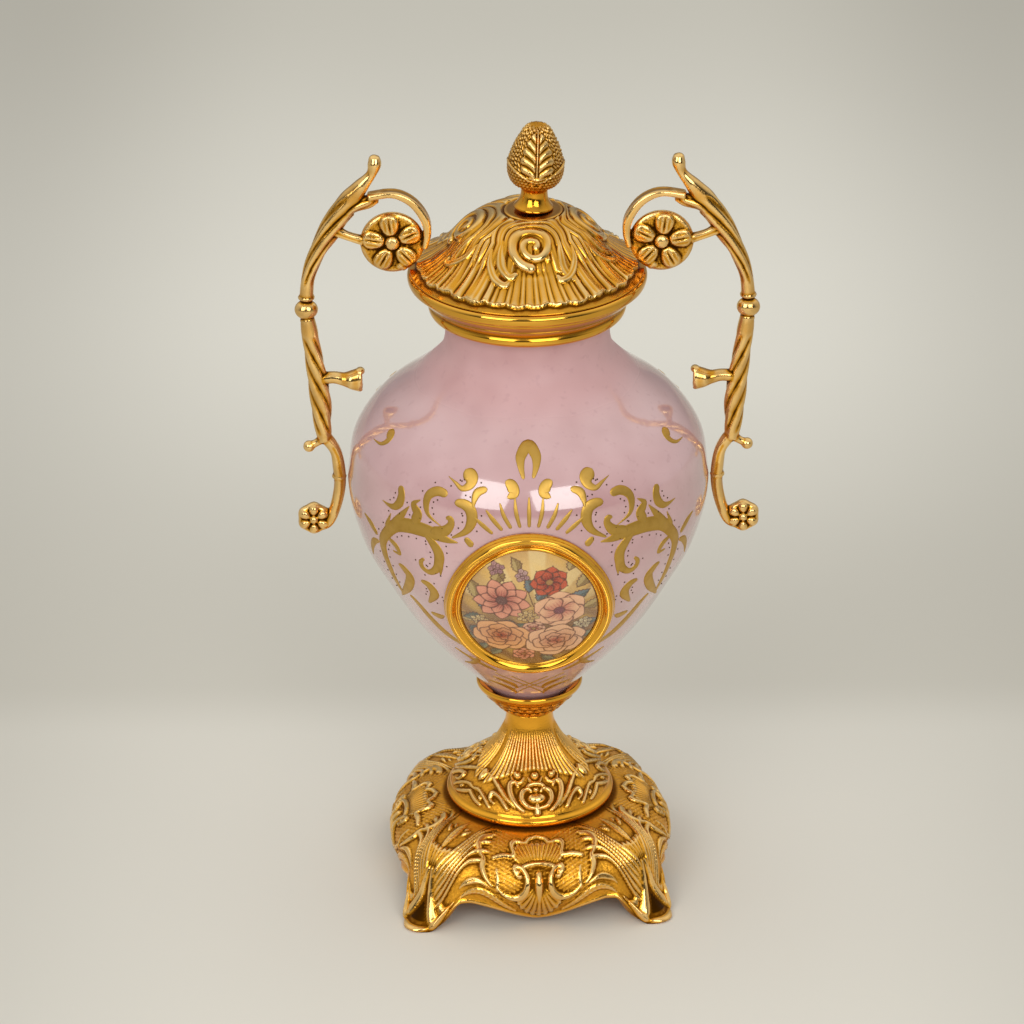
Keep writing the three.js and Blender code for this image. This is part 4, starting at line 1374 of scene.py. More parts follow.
        return wrapped(points, {"hollow": shade, "polish": np.full(offset.shape, 0.6)})

    def dots(self, stroke: Points, axis: float, side: float) -> list[Skin]:
        """Sets small raised dots at even steps beside a stroke, just outside its edge.

        Args:
            stroke: rows of x, z and half width.
            axis: azimuth of the stroke's axis, in degrees.
            side: 1 or -1 for its mirror image.

        Returns:
            The dots.
        """
        path = flowing(stroke, 80)
        radius = self.vessel.curve.at(path[:, 1])[0]
        flat = np.column_stack([path[:, 0] * DEGREE * radius, path[:, 1]])
        run = measured(flat)
        steps = np.arange(self.dot_pitch, run[-1] - 1.0, self.dot_pitch)
        rows = np.column_stack([flat, unit(np.gradient(flat, axis=0)), path[:, 2], radius])
        rows = np.column_stack([np.interp(steps, run, column) for column in rows.T])
        skins = []
        for x, y, tx, ty, half, ring in rows:
            gap = half * self.breadth + self.dot_gap
            skins.append(self.spot((x - ty * gap) / ring * side + axis * DEGREE, y + tx * gap))
        return skins

    def spot(self, azimuth: float, reach: float) -> Skin:
        """Returns one low round dot at a place on the glaze, with seven corners.

        Args:
            azimuth: angle round the axis.
            reach: length along the glaze's curve.

        Returns:
            The dot.
        """
        angle = azimuths(7)[None, :]
        size, rise = np.array([[1.0], [1.0], [0.6]]) * self.dot, np.array([[-0.08], [0.08], [0.26]])
        radius = float(self.vessel.curve.at(reach)[0])
        across, up = size * np.cos(angle) / radius, size * np.sin(angle)
        points = self.vessel.curve.above(reach + up, azimuth + across, rise)
        level = np.full(points.shape[:2], 0.5)
        return wrapped(points, {"hollow": level, "polish": level})

    def build(self, gilt: Material, enamel: Material) -> list[Object]:
        """Builds the gilt strokes and the dots that follow them.

        Args:
            gilt: finish of the strokes.
            enamel: finish of the dots.

        Returns:
            Both pieces.
        """
        ribbons, dots = [], []
        for axis, centre in ((0.0, self.middle), (180.0, self.back)):
            for number, stroke in enumerate(self.scrolls):
                for side in (1.0, -1.0):
                    ribbons.append(self.ribbon(stroke, axis, side, self.lift + self.layer * (number % 12)))
            for number, stroke in enumerate(centre):
                for side in (1.0, -1.0) if axis and number else (1.0,):
                    ribbons.append(self.ribbon(stroke, axis, side, self.lift + self.layer * number))
            for number in self.dotted:
                stroke = self.scrolls[number]
                for side in (1.0, -1.0):
                    dots += self.dots(stroke, axis, side) + self.dots(stroke[::-1], axis, side)
        for reach in (109.0, 129.0):
            dots += [self.spot(sign * 31.5 * DEGREE, reach) for sign in (1, -1)]
        return [joined(ribbons).build("GiltScrollwork", gilt, Slot.POLISHED.value),
            joined(dots).build("EnamelDots", enamel, Slot.POLISHED.value)]


# ---- medallion -----------------------------------------------------------------------------


class Painter:
    """Paints generic flowers on a picture measured in mm from its middle."""

    INK = (0.11, 0.04, 0.03)

    def __init__(self, across: Array, along: Array) -> None:
        """Starts with a brown ground, golden towards the top, with pale rays and yellow clouds."""
        self.across, self.along = across, along
        self.colour = np.zeros((len(across), 3)) + (0.25, 0.14, 0.07)
        edge = np.hypot(across / 34.0, along / 45.0)
        rays = smooth((np.cos(11.0 * np.arctan2(across - 4.0, along - 2.0)) - 0.1) / 0.5)
        clouds = np.sin(across * 0.31 + 1.3 * np.sin(along * 0.17)) * np.sin(along * 0.23 + across * 0.11)
        self.wash(smooth((along + 10.0) / 45.0), (0.80, 0.55, 0.22))
        self.wash(0.6 * smooth((edge - 0.72) / 0.4), (0.34, 0.17, 0.05))
        self.wash(0.6 * rays * smooth((along - 4.0) / 14.0), (0.86, 0.70, 0.36))
        self.wash(0.4 * smooth(clouds), (0.86, 0.55, 0.12))

    def wash(self, cover: Array, colour: Tint) -> None:
        """Lays a colour with a cover of 0 to 1."""
        self.colour = mix(self.colour, np.asarray(colour), np.clip(cover, 0.0, 1.0)[:, None])

    def aimed(self, x: float, y: float, turn: float) -> tuple[Array, Array]:
        """Returns distance from a point towards a direction in degrees from up, and to its right."""
        s, c = math.sin(turn * DEGREE), math.cos(turn * DEGREE)
        dx, dy = self.across - x, self.along - y
        return dx * s + dy * c, dx * c - dy * s

    def form(self, depth: Array, shade: Array, light: Tint, dark: Tint, ink: float) -> None:
        """Paints a shape with an inked edge.

        Args:
            depth: distance in mm inside the shape's edge, negative outside.
            shade: from 0 for the light colour to 1 for the dark one.
            light: colour in the light.
            dark: colour in the shade.
            ink: width of the dark line along the edge, in mm.
        """
        inside = smooth(depth / 0.3 + 0.5)[:, None]
        tone = mix(np.asarray(light), np.asarray(dark), np.clip(shade, 0.0, 1.0)[:, None])
        self.colour = mix(self.colour, tone, inside)
        self.wash(0.85 * smooth((ink + 0.3 - np.abs(depth)) / 0.3), self.INK)

    def petal(self, x: float, y: float, length: float, width: float, turn: float, light: Tint,
            dark: Tint) -> None:
        """Paints one petal.

        It is an egg whose narrow end is at (x, y). Shade gathers at that end, and fine dark
        veins follow its length.

        Args:
            x: place of its narrow end.
            y: place of its narrow end.
            length: its length in mm.
            width: its greatest half width.
            turn: its direction in degrees from straight up.
            light: colour at its tip.
            dark: colour at its root.
        """
        run, off = self.aimed(x, y, turn)
        share = np.clip(run / length, 0.0, 1.0)
        half = width * np.sin(math.pi * share**1.35) ** 0.75 + 0.05
        depth = np.minimum(half - np.abs(off), np.minimum(run, length - run) + 0.3)
        veins = smooth((np.cos(TURN * off / (0.2 * width + 0.7)) - 0.5) / 0.4) * smooth((0.85 - share)
            / 0.4)
        shade = (1.0 - share) ** 1.3 * 1.1 + 0.6 * veins + 0.35 * (np.abs(off) / np.maximum(half, 0.1)) ** 3
        self.form(depth, shade, light, dark, 0.26)

    def bloom(self, x: float, y: float, size: float, petals: int, turn: float, light: Tint, dark: Tint,
            heart: Tint, squeeze: float) -> None:
        """Paints an open flower: two rounds of petals and a stippled heart."""
        for share, shift, deepening in ((1.0, 0.0, 0.6), (0.72, 0.5, 1.0)):
            width = size * share * squeeze * math.pi / petals * 1.25
            root = mix(np.array(light), np.array(dark), deepening)
            for number in range(petals):
                angle = turn + 360.0 * (number + shift) / petals
                self.petal(x, y, size * share, width, angle, light, root)
        dx, dy = self.across - x, self.along - y
        seeds = 0.5 + 0.5 * np.sin(dx * 7.0) * np.sin(dy * 7.0)
        self.form(size * 0.2 - np.hypot(dx, dy), seeds, heart, self.INK, 0.12)

    def rose(self, x: float, y: float, size: float, turn: float, light: Tint, dark: Tint) -> None:
        """Paints a full rose: rings of overlapping round petals that turn towards a dark heart."""
        flatness = 0.86
        for ring, (share, count) in enumerate(((1.0, 6), (0.74, 5), (0.5, 4), (0.3, 3))):
            reach = size * share * 0.55
            inward = np.hypot(self.across - x, (self.along - y) / flatness) / (size * share)
            for number in range(count):
                angle = (turn + 47.0 * ring + 360.0 * number / count) * DEGREE
                dx = self.across - x - reach * math.sin(angle)
                dy = self.along - y - reach * math.cos(angle) * flatness
                radius = np.hypot(dx, dy)
                wave = 0.3 * np.sin(5.0 * np.arctan2(dx, dy) + ring)
                lines = smooth((np.cos(radius * 5.2) - 0.6) / 0.4)
                shade = 0.95 * smooth(1.0 - inward) + 0.2 * ring + 0.18 * lines
                self.form(size * share * 0.5 + wave - radius, shade * 0.85, light, dark, 0.2)

    def leaf(self, x: float, y: float, length: float, width: float, turn: float, light: Tint,
            dark: Tint) -> None:
        """Paints a pointed leaf with a midrib and slanting veins, from its stalk end at (x, y)."""
        run, off = self.aimed(x, y, turn)
        off = off - 0.12 * length * np.sin(math.pi * run / length)
        share = np.clip(run / length, 0.0, 1.0)
        half = width * np.sin(math.pi * share**0.8) ** 1.1 * (1.0 + 0.12 * np.cos(TURN * run / 1.9))
        depth = np.minimum(half - np.abs(off), np.minimum(run, length - run))
        veins = smooth((np.cos(TURN * (run - 1.1 * np.abs(off)) / 2.0) - 0.6) / 0.3)
        shade = 0.35 + 0.4 * np.sign(off) * smooth(np.abs(off) * 2) + 0.5 * hump(off, 0.22) + 0.3 * veins
        self.form(depth, shade, light, dark, 0.2)

    def cluster(self, x: float, y: float, size: float, count: int, light: Tint, dark: Tint) -> None:
        """Paints a round head of small blossoms, set by the golden angle."""
        for number in range(count):
            angle, reach = number * 2.39996, size * math.sqrt((number + 0.5) / count)
            dx, dy = self.across - x - reach * math.cos(angle), self.along - y - reach * math.sin(angle)
            radius = np.hypot(dx, dy)
            edge = 1.45 * (0.75 + 0.25 * np.abs(np.cos(2.5 * np.arctan2(dx, dy) + number)))
            self.form(edge - radius, hump(radius, 0.5) + 0.2 * (number % 3), light, dark, 0.1)

    def stem(self, points: Points) -> None:
        """Paints a thin line with the given half widths."""
        share, _, _ = beside(flowing(points, 8 * len(points)), self.across, self.along)
        self.wash(smooth((1.2 - np.abs(share)) / 0.5), self.INK)

    def bouquet(self) -> Array:
        """Paints the whole bouquet and returns the colours."""
        green, slate = (0.24, 0.27, 0.19), (0.17, 0.22, 0.25)
        deep_leaf, ochre = (0.09, 0.11, 0.10), (0.50, 0.38, 0.16)
        pink, rose_red = (0.80, 0.36, 0.25), (0.33, 0.07, 0.06)
        blush, peach = (0.88, 0.54, 0.34), (0.86, 0.46, 0.22)
        red, dark_red = (0.60, 0.11, 0.05), (0.18, 0.02, 0.02)
        for spray in ((-27, 12, 14, 3.6, -18), (-18, 24, 13, 3.4, 8), (24, 20, 13, 3.4, 28),
                (27, 4, 12, 3.6, 62), (-28, -8, 12, 3.4, -72), (20, 32, 9, 2.8, 10), (-6, 33, 9, 2.6, -20)):
            self.leaf(*spray, ochre, (0.24, 0.15, 0.05))
        for stem in (
                ((11, 8, 0.3), (9, 16, 0.3), (10, 24, 0.3)),
                ((-8, 12, 0.25), (-12, 24, 0.25), (-16, 32, 0.2)),
                ((2, 10, 0.25), (-1, 22, 0.25), (-2, 30, 0.2))):
            self.stem(stem)
        for spray in ((4, 14, 11, 3.0, 12), (17, 10, 11, 3.2, 52), (-10, 6, 12, 3.4, -40),
                (-22, -4, 12, 3.6, -100), (24, -8, 12, 3.6, 96), (0, -2, 12, 3.8, 150),
                (-2, -4, 12, 3.4, 205), (-26, -22, 9, 3.0, -110), (26, -22, 9, 3.2, 70),
                (12, 2, 10, 3.0, 20), (-4, 12, 11, 3.2, -62), (4, 2, 11, 3.4, 70), (-6, -8, 11, 3.2, -72),
                (22, -10, 11, 3.4, 145), (-20, 4, 10, 3.2, -48), (20, 14, 11, 3.2, 74),
                (2, -14, 13, 3.8, 178), (-24, -12, 10, 3.4, -150), (0, 20, 10, 2.8, -12),
                (8, -32, 10, 3.2, 160)):
            self.leaf(*spray, slate if spray[0] % 4 < 2 else green, deep_leaf)
        self.cluster(-17, 34, 3.6, 9, (0.52, 0.30, 0.30), (0.26, 0.12, 0.16))
        self.cluster(-3.5, 31, 3.2, 8, (0.62, 0.42, 0.40), (0.28, 0.14, 0.18))
        self.bloom(10, 26, 9.6, 7, 10, red, dark_red, (0.70, 0.40, 0.12), 0.75)
        self.bloom(-14, 13, 14.5, 9, 20, pink, rose_red, (0.20, 0.10, 0.10), 0.66)
        self.bloom(15, 5, 14.0, 6, 0, blush, (0.55, 0.18, 0.14), (0.32, 0.10, 0.16), 0.76)
        self.cluster(-25, -6, 4.2, 12, (0.80, 0.66, 0.36), (0.42, 0.26, 0.10))
        self.cluster(27, -10, 4.4, 12, (0.82, 0.72, 0.48), (0.34, 0.28, 0.18))
        self.cluster(-1, 2, 4.8, 14, (0.80, 0.62, 0.30), (0.46, 0.26, 0.09))
        self.bloom(2, -9, 6.2, 5, 30, (0.80, 0.48, 0.34), rose_red, (0.62, 0.40, 0.14), 0.8)
        self.rose(-14.0, -17, 14.5, 15, peach, (0.40, 0.08, 0.04))
        self.rose(13.0, -22, 15.0, 70, blush, (0.46, 0.13, 0.08))
        self.bloom(-3, -34, 6.0, 6, 0, pink, rose_red, (0.50, 0.20, 0.12), 0.75)
        for spray in ((-14, -31, 9, 2.8, 215), (6, -37, 9, 2.8, 120), (-22, -27, 7, 2.4, 190)):
            self.leaf(*spray, green, deep_leaf)
        return np.clip(self.colour * [0.94, 0.88, 0.8], 0.0, 1.0)


@dataclass
class Medallion:
    """The oval frame on the vessel's front and the painted plaque in it.

    Attributes:
        half_width: of the frame's opening.
        half_height: of the opening, measured along the vessel's curve.
        middle: height of the opening's middle.
        lift: how far its widest points lie above its middle.
        section: the frame's section; rows of distance outside the opening and rise over the glaze.
    """

    vessel: Vessel
    half_width: float = 34.5
    half_height: float = 45.0
    middle: float = 192.6
    lift: float = 2.0
    gap: float = 0.3
    back: float = 0.5
    thickness: float = 1.7
    crown: float = 0.8
    section: Points = ((8.7, 0.5), (8.7, 1.5, 0.5), (8.1, 2.3, 0.5), (7.6, 2.5, 0.3), (7.2, 3.4, 0.6),
        (6.2, 4.5), (4.9, 4.75), (3.5, 4.3), (2.7, 3.0, 0.6), (2.4, 2.1, 0.4), (1.9, 1.9, 0.3),
        (1.6, 2.5, 0.4), (0.9, 3.0, 0.5), (0.3, 2.6, 0.4), (0.0, 1.9, 0.4), (0.0, 0.5))
    columns: int = 240
    plaque_columns: int = 210
    plaque_rows: int = 250

    def at(self, angle: Array, share: Array | float, outside: Array | float, rise: Array | float) -> Array:
        """Places points over the vessel's front.

        Across is a cosine and up a sine of the angle round the oval, with the lift times the
        squared cosine. Up is measured along the vessel's curve.

        Args:
            angle: angle round the oval.
            share: part of the way out from its middle.
            outside: distance outside the opening.
            rise: height over the glaze.

        Returns:
            Points with a last axis of three.
        """
        across = (self.half_width + outside) * share * np.cos(angle)
        up = ((self.half_height + outside) * np.sin(angle) + self.lift * np.cos(angle) ** 2) * share
        curve = self.vessel.curve
        reach = curve.height_reach(self.middle) + up
        return curve.above(reach, np.arcsin(across / curve.at(reach)[0]), rise)

    def build_frame(self, material: Material) -> Object:
        """Carries the section round the oval.

        Args:
            material: its finish.

        Returns:
            The piece.
        """
        section = softened(self.section, 5)
        section = np.concatenate([section, [[6.0, self.back], [3.0, self.back]]])
        angle = -azimuths(self.columns)
        points = self.at(angle[None, :], 1.0, section[:, :1], section[:, 1:])
        height = np.broadcast_to(section[:, 1:], points.shape[:2])
        hollow = np.clip(0.5 + 0.8 * (blurred(height, 10) - height), 0.0, 1.0)
        paint = {"hollow": hollow[::-1], "polish": np.ones(points.shape[:2])}
        skin = wrapped(points[::-1], paint, ring=True)
        return skin.build("MedallionFrame", material, Slot.POLISHED.value, ["medallion_frame"])

    def build_plaque(self, material: Material) -> Object:
        """Builds the crowned plaque.

        A square grid is drawn out to a disc: each coordinate is multiplied by the square root of
        one less half the other's square. Its edge is carried back in rings to a closed back.

        Args:
            material: its finish.

        Returns:
            The piece.
        """
        a, b = np.meshgrid(np.linspace(-1, 1, self.plaque_columns), np.linspace(-1, 1, self.plaque_rows))
        x, y = a * np.sqrt(1.0 - b * b / 2.0), b * np.sqrt(1.0 - a * a / 2.0)
        share, angle = np.clip(np.hypot(x, y), 0.0, 1.0), np.arctan2(y, x)
        rise = self.thickness + self.crown * (1.0 - share**2)
        front = self.at(angle, share, -self.gap, rise).reshape(-1, 3)
        number = np.arange(a.size).reshape(a.shape)
        quads = np.stack([number[:-1, :-1], number[:-1, 1:], number[1:, 1:], number[1:, :-1]],
            axis=-1).reshape(-1, 4)
        rim = np.concatenate([number[0, :-1], number[:-1, -1], number[-1, :0:-1], number[:0:-1, 0]])
        points, faces, near, start = [front], [quads], rim, a.size
        for part in (1.0, 0.75, 0.5, 0.25):
            points.append(self.at(angle.ravel()[rim], part, -self.gap, self.back))
            far = np.arange(start, start + len(rim))
            faces.append(np.stack([np.roll(near, -1), near, far, np.roll(far, -1)], axis=-1))
            near, start = far, start + len(rim)
        points.append(self.at(np.zeros(1), 0.0, -self.gap, self.back))
        faces.append(np.stack([np.roll(near, -1), near, np.full(len(rim), start)], axis=-1))
        flat = np.concatenate(points)
        colour = Painter((x * self.half_width).ravel(), (y * self.half_height).ravel()).bouquet()
        edge = np.full((len(flat) - a.size, 3), (0.45, 0.28, 0.12))
        skin = Skin(flat, faces, {"paint": np.concatenate([colour, edge])})
        return skin.build("MedallionPlaque", material, Slot.PLAQUE.value, ["medallion_plaque"])


# ---- collar, lid and finial ----------------------------------------------------------------


@dataclass
class Collar:
    """The polished ring on the vessel's neck that carries the lid.

    Attributes:
        outline: its section; rows of radius, height and reach of the corner.
        crevices: rows of height, spread and depth of shade.
    """

    outline: Points = ((43.9, 326.3), (43.9, 326.0), (47.2, 326.0, 1.0), (50.5, 327.6, 1.4),
        (51.1, 330.6, 1.2), (50.1, 332.3, 0.5), (50.9, 333.2, 0.4), (53.0, 335.6), (55.6, 338.6),
        (57.9, 341.0, 0.6), (58.3, 342.4, 0.3), (60.7, 343.0, 1.1), (61.5, 345.2, 1.2), (61.4, 347.5, 1.1),
        (60.0, 348.7, 0.7), (40.0, 348.7, 0.3), (40.0, 344.3, 0.3), (43.9, 344.3, 0.3), (43.9, 326.3))
    crevices: Points = ((332.4, 1.2, 0.35), (338.0, 3.6, 0.3), (342.6, 0.6, 0.35))
    columns: int = 200

    def build(self, material: Material) -> Object:
        """Turns the closed outline into a ring.

        Args:
            material: its finish.

        Returns:
            The piece.
        """
        line = softened(self.outline, 5)[:-1]
        points = around(line[:, :1], azimuths(self.columns), line[:, 1:])
        crevice = 0.42 + np.zeros(len(line))
        for height, spread, depth in self.crevices:
            crevice += depth * hump(line[:, 1] - height, spread)
        hollow = np.broadcast_to(crevice[:, None], points.shape[:2])
        skin = wrapped(points, {"hollow": hollow, "polish": np.ones(points.shape[:2])}, ring=True)
        return skin.build("Collar", material, Slot.POLISHED.value, ["collar"])


@dataclass
class Lid:
    """The bell-shaped lid: four volutes under hoods of arching flutes, over a plain dish.

    Attributes:
        inside: rows of radius and height down the hollow underside.
        outline: its outer section; rows of radius, height and reach of the corner.
        turn: azimuth of the front volute, in degrees.
        volute: length from the outer foot up to the volutes' middles.
        ridge: distance between the arches.
        edge: length from the outer foot up to the relief's edge.
        scallops: number of bows along that edge.
        shift: how far the boss under the finial stands to the right.
    """

    inside: Points = ((12, 378), (20, 375), (30, 368), (38, 359), (50, 351))
    outline: Points = ((54, 349.0), (60.1, 349.0, 0.3), (60.1, 349.7, 0.3), (58.6, 350.1, 0.4),
        (56.0, 351.0), (51, 353.6), (45, 357.4), (39, 363), (34, 369.4), (28, 375), (20, 379.2),
        (15.4, 380.6, 0.5), (14.6, 381.6, 0.5), (13, 382.3, 0.5), (0, 382.4))
    turn: float = 5.2
    repeats: int = 4
    volute: float = 38.6
    ridge: float = 3.7
    edge: float = 5.6
    scallops: int = 32
    shift: float = 3.4
    columns: int = 616
    rows: int = 126

    def relief(self, across: Array, along: Array, local: Array) -> Canvas:
        """Lays a quarter of the lid.

        Distance from the volute gives nested arches. Below the volute only the sideways distance
        counts, so the arches run straight down and spread with the flare. Between their feet a fan
        of finer ridges runs to the edge.

        Args:
            across: mm from the volute's axis.
            along: mm above the volute's middle.
            local: angle from the volute's axis, in radians.

        Returns:
            The canvas.
        """
        canvas = Canvas(across, along)
        below, above = np.maximum(-along, 0.0), np.maximum(along, 0.0)
        flare = 1.0 + 0.024 * below + 0.00022 * below**2
        spread = across / flare
        arch = np.hypot(spread, above)
        step = (arch / self.ridge + 0.12 * np.sin(arch * 0.9)) % 1.0
        fold = 1.0 - np.abs(2.0 * step - 1.0) ** 2.2 - 0.22 * hump(step - 0.5, 0.11)
        arches = (1.15 + 0.25 * smooth(below / 25.0)) * fold
        wide = ridged(local / TURN * self.repeats * 14.0 + 0.5, 0.85)
        seam = smooth((np.abs(local) / DEGREE - 36.0) / 6.0)
        arches = mix(arches, 1.25 * wide, seam * smooth((below - 8.0) / 10.0))
        fan_edge = (8.0 + 5.0 * smooth((below - 13.0) / 7.0)) * flare
        in_fan = smooth((fan_edge - np.abs(across)) / 1.2) * smooth((below - 7.0) / 2.0)
        rays = ridged(spread / 1.9 + 0.5 + 0.12 * np.sin(spread * 1.7), 0.8)
        rays *= 0.35 + 0.3 * smooth(below / 30.0)
        canvas.height = mix(arches, rays, in_fan)
        canvas.polish = 0.25 + 0.45 * smooth(canvas.height)
        pit = 0.6 * hump(np.hypot(across / 6.0, (along + 14.4) / 2.0), 1.0)
        canvas.height -= 0.9 * pit
        canvas.polish *= 1.0 - pit
        return canvas

    def volutes(self, canvas: Canvas) -> None:
        """Lays the spiral and the curled lobes at the arches' feet.

        Args:
            canvas: relief in mm from a volute's middle.
        """
        share = np.linspace(0.0, 1.0, 30)
        angle = (-20.0 + 640.0 * share) * DEGREE
        radius = 1.6 + 9.6 * share**0.95
        spiral = np.column_stack([radius * np.cos(angle), radius * np.sin(angle), 1.7 + share])
        canvas.strand(spiral, 1.9, polish=0.85, mirrored=False)
        for curl in (
                ((-14.6, 2.0, 0.6), (-16.2, -5, 2.3), (-16.0, -12, 3.0), (-12.6, -16.4, 2.4),
                    (-9.4, -14.6, 1.2)),
                ((-21.0, -3.0, 0.6), (-22.2, -11, 2.3), (-20.2, -18.4, 2.9), (-15.8, -21.2, 2.2),
                    (-13.0, -19.0, 1.0)),
                ((13.6, 2.0, 0.6), (13.8, -6, 2.2), (14.8, -13, 2.6), (18.2, -18.6, 1.9),
                    (23.6, -22.2, 0.5)),
                ((20.6, -3.0, 0.6), (21.2, -11, 2.4), (18.0, -17.4, 2.8), (13.6, -19.2, 2.0),
                    (11.4, -16.6, 0.9))):
            canvas.strand(curl, 1.75, groove=0.22, mirrored=False)

    def trim(self, canvas: Canvas, along: Array, local: Array) -> None:
        """Cuts the relief off in a line of small bows above the dish, and smooths the boss.

        Args:
            canvas: the lid's relief.
            along: mm above the outer foot, in one column.
            local: angle from the nearest volute's axis, in radians, in one row.
        """
        bow = ridged(local / TURN * self.scallops + 0.5, 0.7)
        cut = self.edge - 1.7 * bow + 0.5 * np.sin(local * 12.0)
        on_bell = smooth((along - cut) / 0.45)
        lip = hump(along - cut - 0.8, 0.55)
        boss = smooth((along - 54.6) / 0.8)
        canvas.height = (canvas.height + 1.2 + 0.45 * lip) * on_bell * (1.0 - boss)
        canvas.height += 0.6 * hump(along - 56.6, 0.7)
        plain = np.maximum(np.maximum(1.0 - on_bell, boss), 0.9 * lip * on_bell)
        canvas.polish = mix(canvas.polish, 1.0, plain)

    def build(self, material: Material) -> Object:
        """Turns the outline, lays the relief and moves the boss to the right under the finial.

        Args:
            material: its finish.

        Returns:
            The piece.
        """
        line = Outline(softened(self.outline, 7))
        foot, top = line.height_reach(349.65), line.height_reach(382.2)
        bell = np.linspace(foot, top, self.rows - 6)
        reach = np.concatenate([[1.0, 5.7, 6.1], bell, [top + 4.0, line.length - 4.0]])
        azimuth = azimuths(self.columns, self.turn)
        local, along = folded(azimuth, self.turn, self.repeats)[None, :], (reach - foot)[:, None]
        across = local * np.maximum(line.at(reach)[0], 14.0)[:, None]
        canvas = self.relief(across, along - self.volute + 0.0 * local, local + 0.0 * along)
        self.volutes(canvas)
        self.trim(canvas, along, local)
        canvas.stipple(0.07, 37)
        outer = line.turned(reach, azimuth, canvas.height)
        outer[..., 0] += self.shift * smooth((along - 48.0) / 9.0)
        inside = np.array(self.inside)
        points = np.concatenate([around(inside[:, :1], azimuth, inside[:, 1:]), outer])
        plain = np.ones((len(inside), self.columns))
        # Painted shade: a little darker on the hollow underside, and in the relief's hollows.
        hollow = np.concatenate([0.6 * plain, hollows(canvas.height, 0.46)])
        polish = np.concatenate([0.3 * plain, canvas.polish])
        skin = wrapped(points, {"hollow": hollow, "polish": polish})
        return skin.build("Lid", material, Slot.CAST.value, ["lid"])


